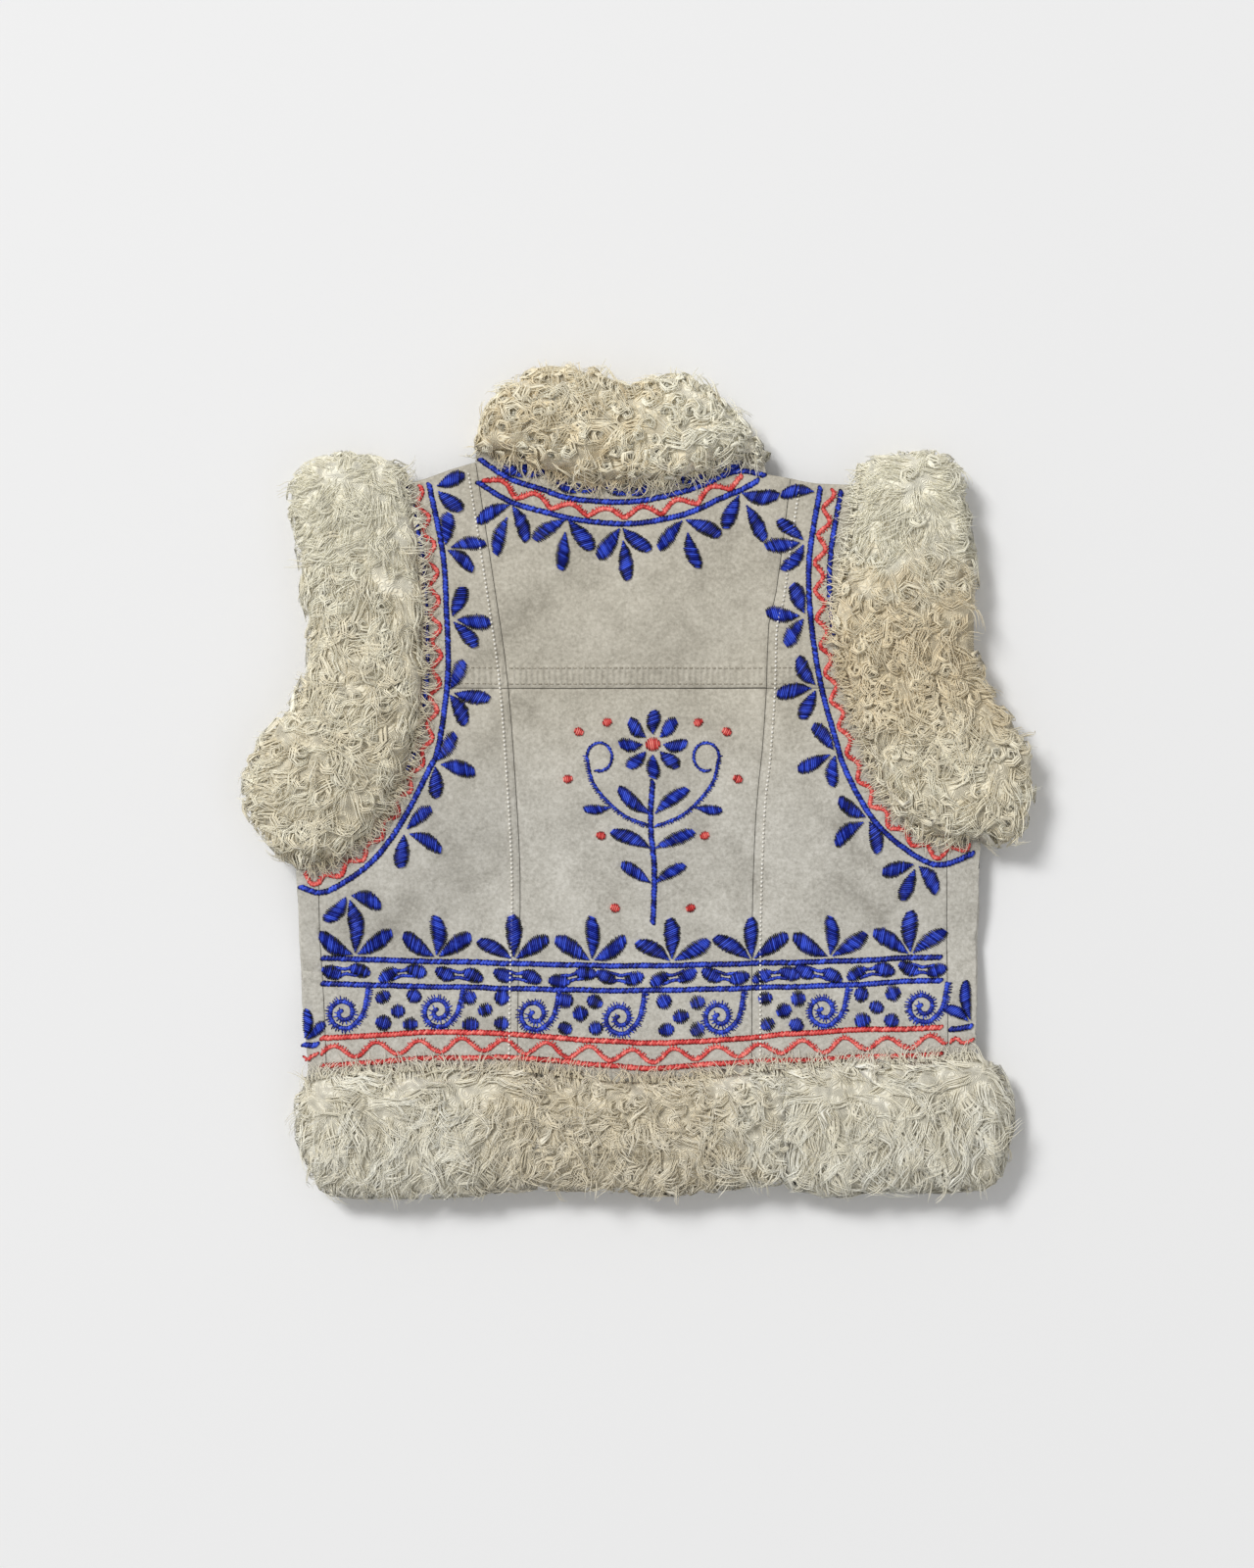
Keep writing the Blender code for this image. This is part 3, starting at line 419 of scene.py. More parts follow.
def makeSuede(name, look):
    material, tree, shader = newMaterial(name, 0.95, sheen=0.25, specular=0.25)
    place = addNode(tree, "ShaderNodeTexCoord").outputs["Object"]
    smudge = addNode(tree, "ShaderNodeTexNoise", {"Scale": 1 / (look["smudge"] * mm), "Detail": 4.0, "Roughness": 0.6,
                     "Distortion": 0.6}, {"Vector": place})
    nap = addNode(tree, "ShaderNodeTexNoise", {"Scale": 1 / (look["nap"] * mm), "Detail": 3.0, "Roughness": 0.7},
                  {"Vector": place})
    strokes = addNode(tree, "ShaderNodeTexNoise", {"Scale": 1 / (look["strokes"] * mm), "Detail": 3.0,
                      "Roughness": 0.65, "Distortion": 1.2}, {"Vector": place})
    tone = addNode(tree, "ShaderNodeMath", {1: look["strokesShare"]}, {0: strokes.outputs["Fac"]},
                   operation="MULTIPLY")
    tone = addNode(tree, "ShaderNodeMath", {1: look["smudgeShare"]}, {0: smudge.outputs["Fac"], 2: tone.outputs[0]},
                   operation="MULTIPLY_ADD")
    tone = addNode(tree, "ShaderNodeMath", {1: look["napShare"]}, {0: nap.outputs["Fac"], 2: tone.outputs[0]},
                   operation="MULTIPLY_ADD")
    creaseShading = addNode(tree, "ShaderNodeAttribute", attribute_name="crease")  # painted shade: the nap is coloured darker down in a trough, and painted light makes it lighter on a ridge
    tone = addNode(tree, "ShaderNodeMath", {1: look["creaseShading"]}, {0: creaseShading.outputs["Fac"], 2: tone.outputs[0]},
                   operation="MULTIPLY_ADD")
    colors = addNode(tree, "ShaderNodeValToRGB", links={"Fac": tone.outputs[0]})
    setRamp(colors, list(zip(look["stops"], (look["dark"], look["mid"], look["light"]))))
    parts = addNode(tree, "ShaderNodeSeparateXYZ", links={0: place})
    span = {"From Min": look["coolerFrom"] * mm, "From Max": look["coolerTo"] * mm}
    low = addNode(tree, "ShaderNodeMapRange", span, {"Value": parts.outputs["Y"]}, interpolation_type="SMOOTHSTEP")
    toned = addNode(tree, "ShaderNodeMix", links={"Factor": low.outputs[0], 6: colors.outputs["Color"]},
                    data_type="RGBA", blend_type="MULTIPLY")  # the skin is greyer towards the hem
    toned.inputs[7].default_value = (*look["cooler"], 1.0)
    seam = addNode(tree, "ShaderNodeAttribute", attribute_name="seamDistance")
    # painted shade: within about a millimetre of each seam the suede is coloured towards the dark seam tone, where
    # the groove lies
    seamGrooveShade = addNode(tree, "ShaderNodeMapRange", {"From Min": 0.1, "From Max": 1.1, "To Min": 0.25, "To Max": 0.0},
                     {"Value": seam.outputs["Fac"]}, interpolation_type="SMOOTHSTEP")
    base = addNode(tree, "ShaderNodeMix", links={"Factor": seamGrooveShade.outputs[0], 6: toned.outputs[2]}, data_type="RGBA")
    base.inputs[7].default_value = hexColor(look["seam"])
    tree.links.new(base.outputs[2], shader.inputs["Base Color"])
    fine = addNode(tree, "ShaderNodeTexNoise", {"Scale": 1 / (look["grain"] * mm), "Detail": 2.0}, {"Vector": place})
    height = addNode(tree, "ShaderNodeMath", {1: 0.5}, {0: fine.outputs["Fac"], 2: nap.outputs["Fac"]},
                     operation="MULTIPLY_ADD")
    start, end = look["bandTop"]
    band = addNode(tree, "ShaderNodeMapRange", {"From Min": start * mm, "From Max": end * mm, "To Min": 1.0,
                   "To Max": 0.0}, {"Value": parts.outputs["Y"]}, interpolation_type="SMOOTHSTEP")
    bumpNap = addNode(tree, "ShaderNodeBump", {"Strength": 0.6, "Distance": 0.3 * mm}, {"Height": height.outputs[0]})
    roll = addNode(tree, "ShaderNodeMapRange", {"From Min": 0.0, "From Max": 2.0, "To Min": 0.0, "To Max": 1.0},
                   {"Value": seam.outputs["Fac"]}, interpolation_type="SMOOTHSTEP")
    bumpSeam = addNode(tree, "ShaderNodeBump", {"Strength": 0.55, "Distance": 0.5 * mm},
                       {"Height": roll.outputs[0], "Normal": bumpNap.outputs["Normal"]})
    bumpBand = addNode(tree, "ShaderNodeBump", {"Strength": 0.8, "Distance": 0.6 * mm},
                       {"Height": band.outputs[0], "Normal": bumpSeam.outputs["Normal"]})
    # the felled band is drawn into small puckers between its two rows of stitches
    start, end = look["bandLow"]
    lowEdge = addNode(tree, "ShaderNodeMapRange", {"From Min": start * mm, "From Max": end * mm},
                      {"Value": parts.outputs["Y"]}, interpolation_type="SMOOTHSTEP")
    inBand = addNode(tree, "ShaderNodeMath", links={0: lowEdge.outputs[0], 1: band.outputs[0]}, operation="MULTIPLY")
    pucker = addNode(tree, "ShaderNodeTexWave", {"Scale": 0.314 / (look["pucker"] * mm), "Distortion": 1.2,
                     "Detail": 1.0, "Detail Scale": 2.0}, {"Vector": place}, bands_direction="X")
    drawn = addNode(tree, "ShaderNodeMath", links={0: pucker.outputs["Fac"], 1: inBand.outputs[0]},
                    operation="MULTIPLY")
    bumpDrawn = addNode(tree, "ShaderNodeBump", {"Strength": 0.7, "Distance": 0.5 * mm},
                        {"Height": drawn.outputs[0], "Normal": bumpBand.outputs["Normal"]})
    tree.links.new(bumpDrawn.outputs["Normal"], shader.inputs["Normal"])
    return material


suedeMaterial = makeSuede("nappedSuede", suedeLook)

# A fine suede shell on each panel, in place of its imported solid
for name in backNodes + frontNodes:
    isFront = name in frontNodes
    piece = fineShell(name, "suede_" + name, suede["frontPitch" if isFront else "pitch"], fold=isFront)
    piece.data.materials.clear()
    piece.data.materials.append(suedeMaterial)
    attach(piece, "root")
    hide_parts(name)
    print("suede", name, len(piece.data.polygons), "faces")


# Threads: each stitch is a low arch of spun thread, set out as points and sewn by Geometry Nodes

stitchShape = {"rings": (-0.5, -0.3, 0.3, 0.5), "swell": (0.45, 1.0, 1.0, 0.45)}


def stitchMesh():
    shape = bmesh.new()
    along = shape.verts.layers.float.new("along")
    rings = []
    for place, swell in zip(stitchShape["rings"], stitchShape["swell"]):
        ring = []
        for y, z in ((-0.5, -0.2), (0.5, -0.2), (0.3, 0.8), (-0.3, 0.8)):
            vert = shape.verts.new((place, y * swell, z * swell))
            vert[along] = place + 0.5
            ring.append(vert)
        rings.append(ring)
    for a, b in zip(rings, rings[1:]):
        for i in range(4):
            shape.faces.new((a[i], b[i], b[(i + 1) % 4], a[(i + 1) % 4]))
    shape.faces.new(rings[0])
    shape.faces.new(rings[-1][::-1])
    bmesh.ops.recalc_face_normals(shape, faces=shape.faces)
    mesh = bpy.data.meshes.new("stitch")
    shape.to_mesh(mesh)
    shape.free()
    mesh.shade_smooth()
    return mesh


def stitchTree():
    tree = bpy.data.node_groups.new("sewStitches", "GeometryNodeTree")
    tree.interface.new_socket("Geometry", in_out="INPUT", socket_type="NodeSocketGeometry")
    tree.interface.new_socket("Stitch", in_out="INPUT", socket_type="NodeSocketObject")
    tree.interface.new_socket("Thickness", in_out="INPUT", socket_type="NodeSocketFloat").default_value = 1.0
    tree.interface.new_socket("Thread", in_out="INPUT", socket_type="NodeSocketMaterial")
    tree.interface.new_socket("Geometry", in_out="OUTPUT", socket_type="NodeSocketGeometry")
    given = addNode(tree, "NodeGroupInput")
    stitch = addNode(tree, "GeometryNodeObjectInfo", links={"Object": given.outputs["Stitch"]})
    turn = addNode(tree, "GeometryNodeInputNamedAttribute", {"Name": "turn"}, data_type="FLOAT_VECTOR")
    turned = addNode(tree, "FunctionNodeEulerToRotation", links={0: turn.outputs["Attribute"]})
    size = addNode(tree, "GeometryNodeInputNamedAttribute", {"Name": "size"}, data_type="FLOAT_VECTOR")
    thick = addNode(tree, "ShaderNodeCombineXYZ", {"X": 1.0},
                    {"Y": given.outputs["Thickness"], "Z": given.outputs["Thickness"]})
    scaled = addNode(tree, "ShaderNodeVectorMath", links={0: size.outputs["Attribute"], 1: thick.outputs[0]},
                     operation="MULTIPLY")
    placed = addNode(tree, "GeometryNodeInstanceOnPoints", links={
        "Points": given.outputs["Geometry"], "Instance": stitch.outputs["Geometry"],
        "Rotation": turned.outputs[0], "Scale": scaled.outputs[0]})
    real = addNode(tree, "GeometryNodeRealizeInstances", links={0: placed.outputs[0]})
    thread = addNode(tree, "GeometryNodeSetMaterial", links={
        "Geometry": real.outputs[0], "Material": given.outputs["Thread"]})
    addNode(tree, "NodeGroupOutput", links={0: thread.outputs[0]})
    return tree


sewTree = stitchTree()
stitchPiece = meshObject("stitch", stitchMesh())


def sewn(name, stitches, material, thickness=1.0):  # stitches: x0, y0, x1, y1, width, height, lift, shade
    mesh = bpy.data.meshes.new(name)
    places, turns, sizes, shades = [], [], [], []
    for x0, y0, x1, y1, width, high, lift, shade in stitches:
        z0, z1 = clothTop(x0, y0), clothTop(x1, y1)
        long = math.hypot(x1 - x0, y1 - y0)
        places.append(((x0 + x1) / 2 * mm, (y0 + y1) / 2 * mm, ((z0 + z1) / 2 + lift) * mm))
        turns.append((0.0, -math.atan2(z1 - z0, long), math.atan2(y1 - y0, x1 - x0)))
        sizes.append((long * mm, width * mm, high * mm))
        shades.append(shade)
    mesh.from_pydata(places, [], [])
    for label, values, kind in (("turn", turns, "FLOAT_VECTOR"), ("size", sizes, "FLOAT_VECTOR")):
        mesh.attributes.new(label, kind, "POINT").data.foreach_set("vector", np.array(values).ravel())
    mesh.attributes.new("shade", "FLOAT", "POINT").data.foreach_set("value", np.array(shades))
    piece = meshObject(name, mesh)
    modifier = piece.modifiers.new("sew", "NODES")
    modifier.node_group = sewTree
    setInput(modifier, sewTree, "Stitch", stitchPiece)
    setInput(modifier, sewTree, "Thickness", thickness)
    setInput(modifier, sewTree, "Thread", material)
    baked(piece, material)
    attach(piece, "root")
    print("sewn", name, len(stitches), "stitches", len(piece.data.polygons), "faces")
    return piece


# Embroidery cotton: mercerised, loosely spun, so it shines along the thread
threadLook = {
    "blue": {"tones": ("#020518", "#10208A", "#425FE8"), "roughness": 0.42, "specular": 0.22},
    "red": {"tones": ("#7C1415", "#D63C3B", "#FF8E83"), "roughness": 0.5, "specular": 0.3},
    "white": {"tones": ("#D6D0C3", "#F0ECE2", "#FDFBF5"), "roughness": 0.7, "specular": 0.4},
    "band": {"tones": ("#7E7667", "#9D9586", "#B8B1A2"), "roughness": 0.8, "specular": 0.3},
}


def makeThread(name, look):
    material, tree, shader = newMaterial(name, look["roughness"], specular=look["specular"])
    place = addNode(tree, "ShaderNodeTexCoord").outputs["Object"]
    shade = addNode(tree, "ShaderNodeAttribute", attribute_name="shade")
    along = addNode(tree, "ShaderNodeAttribute", attribute_name="along")
    patch = addNode(tree, "ShaderNodeTexNoise", {"Scale": 1 / (3.0 * mm), "Detail": 2.0}, {"Vector": place})
    # painted highlight and painted shade: each stitch is coloured brighter in its middle, where it arches up, and
    # darker at both ends, where it dips into the suede
    offMiddle = addNode(tree, "ShaderNodeMath", {1: 0.5}, {0: along.outputs["Fac"]}, operation="SUBTRACT")
    fromMiddle = addNode(tree, "ShaderNodeMath", links={0: offMiddle.outputs[0]}, operation="ABSOLUTE")
    archShading = addNode(tree, "ShaderNodeMapRange", {"From Min": 0.12, "From Max": 0.5, "To Min": 0.14, "To Max": -0.34},
                   {"Value": fromMiddle.outputs[0]}, interpolation_type="SMOOTHSTEP")
    tone = addNode(tree, "ShaderNodeMath", {1: 0.55}, {0: patch.outputs["Fac"], 2: shade.outputs["Fac"]},
                   operation="MULTIPLY_ADD")
    tone = addNode(tree, "ShaderNodeMath", links={0: tone.outputs[0], 1: archShading.outputs[0]}, operation="ADD")
    colors = addNode(tree, "ShaderNodeValToRGB", links={"Fac": tone.outputs[0]})
    setRamp(colors, list(zip((0.2, 0.55, 0.95), look["tones"])))
    tree.links.new(colors.outputs["Color"], shader.inputs["Base Color"])
    return material


blueThread = makeThread("blueCotton", threadLook["blue"])
redThread = makeThread("redCotton", threadLook["red"])
whiteThread = makeThread("whiteCotton", threadLook["white"])
bandThread = makeThread("suedeTonedCotton", threadLook["band"])

hand = random.Random(7)  # the small unevenness of hand sewing
noise.seed_set(7)  # without it noise_vector differs from run to run


def wobble(amount):
    return hand.uniform(-amount, amount)


def stitch(x0, y0, x1, y1, width, high, lift=0.15):
    return (x0, y0, x1, y1, width, high, lift, 0.28 + wobble(0.22))


def ropeLine(path, width=2.6, slant=1.1, pitch=2.1):  # stem stitch: each stitch slants over the last
    path = smoothPath([tuple(p) for p in path], pitch) if pitch else path
    made = []
    for before, after in zip(path, path[1:]):
        run = (after - before) / np.hypot(*(after - before))
        side = np.array([-run[1], run[0]])
        middle = (before + after) / 2 + side * wobble(0.15)
        long = pitch * (1.9 + wobble(0.2)) / 2
        tilt = side * slant * width / 2
        start, end = middle - run * long - tilt, middle + run * long + tilt
        made.append(stitch(*start, *end, width * (1 + wobble(0.08)), 0.95, 0.2))
    return made


def hairStitches(path, side, reachOut, pitch=1.25, lean=0.35):  # short spikes along one side of a line
    made = []
    path = smoothPath([tuple(p) for p in path], pitch)
    for before, after in zip(path, path[1:]):
        run = (after - before) / np.hypot(*(after - before))
        out = np.array([-run[1], run[0]]) * side
        tip = after + (out + run * (lean + wobble(0.2))) * reachOut * (1 + wobble(0.25))
        base = after - out * 0.9
        made.append(stitch(*base, *tip, 0.85, 0.7, 0.1))
    return made


def waveOn(path, swing, pitch, start=0.0, sharp=0.3):  # rounded humps with narrower troughs
    run = np.concatenate([[0], np.cumsum(np.hypot(*np.diff(path, axis=0).T))])
    phase = run / pitch + start
    hump = (0.5 - 0.5 * np.cos(2 * np.pi * phase)) ** (1 - sharp)
    uneven = np.array([1 + 0.3 * noise.noise(Vector((step * 0.7, start, 2.0))) for step in phase])
    return path + (offsetPath(path, 1.0) - path) * ((hump * 2 - 1.1) * swing * uneven)[:, None]


def satinLeaf(x, y, angle, long, wide, slant=0.38, fullest=0.63):  # a drop of slanted threads from its point
    ahead = np.array([math.cos(angle), math.sin(angle)])
    side = np.array([-ahead[1], ahead[0]])
    base = np.array([x, y])
    made = []
    count = max(6, int(long / 1.2))
    bend = wobble(0.07) * long
    lean = hand.choice((-1, 1)) * slant
    band = hand.uniform(0, 6.28)
    for i in range(count):
        t = (i + 0.5) / count
        half = math.sin(math.pi / 2 * t / fullest) ** 0.9 if t < fullest else math.sqrt(
            1 - ((t - fullest) / (1.03 - fullest)) ** 2)
        half = max(half * wide / 2, 0.6) * (1 + wobble(0.08))
        middle = base + ahead * long * t + side * bend * math.sin(math.pi * t)
        start = middle - side * half - ahead * half * lean
        end = middle + side * half + ahead * half * lean
        shade = 0.27 + 0.06 * math.sin(t * 9 + band) + wobble(0.22)
        made.append((*start, *end, 1.25 + wobble(0.12), 1.7 + wobble(0.3), 0.05, shade))
    return made


def leafSpray(x, y, headings, long, wide, side=0.9, start=2.0, further=0.0):  # the second leaf is the longest
    made = []
    for number, heading in enumerate(headings):
        angle = math.radians(heading + wobble(3))
        size = long * (1.0 if number == 1 else side)
        away = start + (further if number == 1 else 0.0)
        made += satinLeaf(x + math.cos(angle) * away, y + math.sin(angle) * away, angle,
                          size * (1 + wobble(0.05)), wide * (1 + wobble(0.08)))
    return made


def dropPair(x, y, tilt, long=31.0, wide=9.6):  # two ovals joined by a waist of two threads
    angle = math.radians(tilt)
    ahead = np.array([math.cos(angle), math.sin(angle)])
    side = np.array([-ahead[1], ahead[0]])
    made = []
    for way in (-1, 1):
        middle = np.array([x, y]) + ahead * way * (long / 2 - 6.6)
        made += satinDot(*middle, 13.5, wide, tilt + 90 + 22 * hand.choice((-1, 1)))
        line = [np.array([x, y]) + ahead * u + side * way * (1.5 + 0.25 * abs(u) ** 0.9)
                for u in (-7, -3.5, 0, 3.5, 7)]
        made += ropeLine(line, width=2.0, slant=0.5)
    return made


def satinDot(x, y, along, across, turn=None):  # an oval filled with threads laid side by side
    made = []
    angle = math.radians(turn if turn is not None else hand.uniform(60, 120))
    ahead, side = np.array([math.sin(angle), -math.cos(angle)]), np.array([math.cos(angle), math.sin(angle)])
    count = max(4, int(along / 1.2))
    band = hand.uniform(0, 6.28)
    for i in range(count):
        v = (i + 0.5) / count * 2 - 1
        half = across / 2 * max(1 - v * v, 0.08) ** 0.5 * (1 + wobble(0.07))
        middle = np.array([x, y]) + ahead * v * along / 2
        start, end = middle - side * half, middle + side * half
        made.append((*start, *end, 1.3, 1.5 + wobble(0.3), 0.05, 0.24 + 0.14 * math.sin(3 * v + band) + wobble(0.24)))
    return made


def curl(x, y, radius, turns, tail):  # a spiral from its middle out, and on up to the line above
    points = []
    for i in range(int(turns * 14) + 1):
        t = i / (turns * 14)
        angle = math.radians(tail["from"]) - turns * 2 * math.pi * (1 - t)
        r = radius * (0.12 + 0.88 * t ** 0.8)
        points.append((x + r * math.cos(angle), y + r * math.sin(angle)))
    points += tail["points"]
    return smoothPath(points, 1.4)


# Hem border: a few places on each of its hand-drawn lines, and how far across each figure stands
hemLines = {
    "upperBlue": [(-202, -111.4), (-110, -114.4), (0, -116.5), (100, -114.4), (195, -110.8)],
    "lowerBlue": [(-202, -127.6), (-110, -130.2), (0, -132.0), (100, -129.6), (195, -125.4)],
    "upperRed": [(-202, -162.3), (-120, -158.0), (-75, -160.0), (0, -165.0), (70, -162.0), (105, -158.4),
                 (195, -155.2)],
    "lowerRed": [(-202, -180.0), (-135, -175.0), (-75, -174.6), (0, -181.0), (45, -178.4), (105, -175.6),
                 (195, -172.0)],
}
hem = {
    "sprays": [-179.8, -128.6, -79.4, -29.8, 21.1, 71.9, 121.5, 172.4],
    "headings": (148, 91, 33), "leaf": {"long": 25.5, "wide": 10.6, "side": 0.96},
    "drops": [(-185.7, 4), (-150.0, 8), (-114.0, -3), (-77.0, -3), (-42.0, 16), (-12.0, -4), (22.0, 8), (55.0, -6),
              (87.0, 6), (114.0, -8), (147.0, 8), (180.0, -4)],
    "curls": [-187.0, -127.0, -66.0, -12.0, 51.0, 117.0, 180.0],
    "dots": [-153.0, -97.0, -37.0, 27.0, 91.0, 151.0],
    "dotPattern": [(-10.0, 8.4), (10.0, 8.0), (0, 0), (-9.2, -8.4), (9.2, -8.4)],
}
hemCurves = {line: smoothPath(points, 2.0) for line, points in hemLines.items()}


def hemY(line, x):
    if line == "waveRed":
        return (hemY("upperRed", x) + hemY("lowerRed", x)) / 2
    return float(np.interp(x, hemCurves[line][:, 0], hemCurves[line][:, 1]))


def hemPath(line, fromX=-201.0, toX=194.5, pitch=3.0):  # by hand, so each line strays a little
    return np.array([(x, hemY(line, x) + 0.8 * noise.noise(Vector((x / 31, len(line), 0)))
                      ) for x in np.arange(fromX, toX, pitch)])


def hemBorder():
    blue, red = [], []
    for line in ("upperBlue", "lowerBlue"):
        blue += ropeLine(hemPath(line))
    for line in ("upperRed", "lowerRed"):
        red += ropeLine(hemPath(line), width=2.4, slant=1.2)
    wave = waveOn(hemPath("waveRed", pitch=1.5), 3.9, 27.0, 0.2, sharp=0.0)
    red += ropeLine(wave, width=2.1, slant=0.6, pitch=1.9)
    red += hairStitches(wave, 1, 2.4, 1.6)
    for x in hem["sprays"]:
        blue += leafSpray(x, hemY("upperBlue", x) + 2.2, hem["headings"], **hem["leaf"])
    for x, tilt in hem["drops"]:
        y = (hemY("upperBlue", x) + hemY("lowerBlue", x)) / 2
        blue += dropPair(x, y, tilt)
    for x in hem["curls"]:
        room = hemY("lowerBlue", x) - hemY("upperRed", x)
        y = hemY("lowerBlue", x) - room * 0.54
        tail = {"from": -60, "points": [(x + 11.5, y - 2.0), (x + 14.0, y + 6.0), (x + 15.5, y + room * 0.5)]}
        path = curl(x, y, min(10.0, room / 2 - 4.2), 1.5, tail)
        blue += ropeLine(path, width=2.6, slant=0.6, pitch=1.8)
        blue += hairStitches(path, -1, 3.1, 1.4)
    for x in hem["dots"]:
        y = (hemY("lowerBlue", x) + hemY("upperRed", x)) / 2
        for dx, dy in hem["dotPattern"]:
            blue += satinDot(x + dx + wobble(1), y + dy + wobble(0.8), 9.6 + wobble(1), 10.2 + wobble(1))
    # what carries on over the side folds: a spray, a blue line and a bit of the wave on each
    blue += leafSpray(-211.5, -164.0, (42, 88), 19.0, 7.5, 0.8)
    blue += ropeLine([(-212.5, -166.0), (-208, -166.6), (-203.0, -166.0)])
    red += ropeLine([(-211.5, -173.5), (-209.5, -176.0), (-207, -173.5), (-203.0, -172.0)], width=1.7)
    blue += leafSpray(210.0, -152.0, (152, 97), 25.0, 8.0, 0.7)
    blue += ropeLine([(197.0, -156.5), (203, -156.0), (211.0, -154.5)])
    red += ropeLine([(197.0, -164.5), (201, -162.0), (205, -165.0), (212.0, -163.0)], width=1.7)
    return blue, red


# Armhole borders, from the shoulder down round the armhole to the side fold: the outer blue line
armholeLine = {
    "left": [(-132.9, 189), (-124.2, 146), (-121.8, 110), (-120.9, 67), (-126.7, 23), (-133.7, 6), (-151, -27),
             (-168.5, -50), (-187.6, -64), (-201.5, -70), (-214.5, -66)],
    "right": [(115.2, 186.6), (108.3, 145), (108.3, 110), (114.6, 65), (124.6, 27), (131.2, 7), (144.5, -18),
              (159.3, -35), (181, -50), (194.3, -52), (212.0, -45)],
}
armholeSprays = {  # place, and the way that each leaf points
    "left": [(-129.7, 186.5, (19, -42)), (-122.6, 148, (80, 9, -40)), (-118.6, 103, (71, 0, -51)),
             (-120.6, 57, (60, -9, -62)), (-129, 12, (53, -11, -84)), (-148.4, -31, (42, -28, -96)),
             (-184, -71, (-21, -75, -129))],
    "right": [(113.0, 184, (187,)), (105.6, 152, (142, 187, 232)), (105.6, 105, (115, 176, 232)),
              (112.8, 60, (126, 190, 248)), (124.6, 19, (134, 204, 264)), (145.3, -23, (149, 219, 286)),
              (176, -51.5, (196, 250, 304))],
}
armhole = {
    "outerAt": 13.2, "waveAt": 6.8, "hiddenBelow": {"left": -12.0, "right": 92.0},
    "leaf": {"wide": 10.0, "side": 0.94, "start": 2.2, "further": 1.6}, "long": 21.5, "longInPair": 19.5,
}


def armholeBorder(side):
    blue, red = [], []
    outward = {"left": -1, "right": 1}[side]  # the wool lies to this side of a line drawn downwards
    line = smoothPath(armholeLine[side], 1.5)
    blue += ropeLine(line)
    outer = offsetPath(line, armhole["outerAt"] * outward)
    blue += ropeLine(outer[outer[:, 1] > armhole["hiddenBelow"][side]])  # the rest of it is under the wool
    wave = waveOn(offsetPath(line, armhole["waveAt"] * outward), 2.7, 17.5, 0.3, sharp=0.1)
    red += ropeLine(wave, width=2.3, slant=0.6, pitch=1.9)
    red += hairStitches(wave, outward, 2.4, 1.6)
    for x, y, headings in armholeSprays[side]:
        long = armhole["longInPair" if len(headings) == 2 else "long"]
        blue += leafSpray(x, y, headings, long, **armhole["leaf"])
    return blue, red


# Neck border: two blue lines with a red wave between, and sprays that hang from the lower one
neckUpper = [(-101, 204.5), (-81.7, 192), (-60.3, 185), (-46, 180), (-24.8, 177.6), (-10.5, 177.3), (3.7, 178.3),
             (25, 183), (39.4, 187.6), (53.6, 194), (65, 197), (80, 194.0)]
neckLower = [(-102, 190), (-81.7, 177.6), (-60, 171), (-39, 166), (-10.5, 163.4), (10.9, 165.5), (32, 170.5),
             (50.7, 179), (65, 185), (76, 191)]
neck = {
    "sprays": [(-80.5, 176, (204, 252, 296)), (-45.3, 167, (211, 262, 308)), (-11.2, 161.6, (233, 278, 319)),
               (28.5, 166.5, (231, 286, 333)), (63.9, 183, (246, 297, 356))],
    "leaf": {"long": 24.5, "wide": 10.2, "side": 0.94, "start": 1.4, "further": 7.5},
    "onStand": (-72, -38, -6, 28, 52), "standHeadings": (150, 90, 30), "standLeaf": {"long": 15.0, "wide": 7.5},
}


def neckBorder():
    blue, red = ropeLine(neckUpper), []
    blue += ropeLine(neckLower)
    upper, lower = smoothPath(neckUpper, 1.5), smoothPath(neckLower, 1.5)
    count = min(len(upper), len(lower))
    pick = [np.linspace(0, len(path) - 1, count).astype(int) for path in (upper, lower)]
    middle = (upper[pick[0]] + lower[pick[1]]) / 2
    wave = waveOn(smoothPath([tuple(p) for p in middle[4:-3:6]], 1.5), 3.2, 23.0)
    red += ropeLine(wave, width=2.6, slant=0.6, pitch=1.9)
    red += hairStitches(wave, 1, 2.6, 1.6)
    for x, y, headings in neck["sprays"]:
        blue += leafSpray(x, y, headings, **neck["leaf"])
    for x in neck["onStand"]:  # leaves on the stand, which the wool half hides
        y = float(np.interp(x, [p[0] for p in neckUpper], [p[1] for p in neckUpper])) + 3.0
        blue += leafSpray(x, y, neck["standHeadings"], **neck["standLeaf"])
    return blue, red


# A plain flower spray in the middle of the back: a rosette on a stem, with leaves, curls and berries
spray = {
    "x": 9.0, "top": 24.0, "stemFoot": -90.0, "petals": 8, "petal": 15.0, "petalWide": 9.5, "petalFrom": 6.5,
    "leaves": [(-44, 52, 26.0, 9.5), (-66, 66, 27.0, 9.5), (-88, 58, 22.0, 8.5)],  # below the top, turn, long, wide
    "berries": [(29, 22), (47, 16), (54, -14), (33, -50), (24, -96)], "berry": 6.0,
}


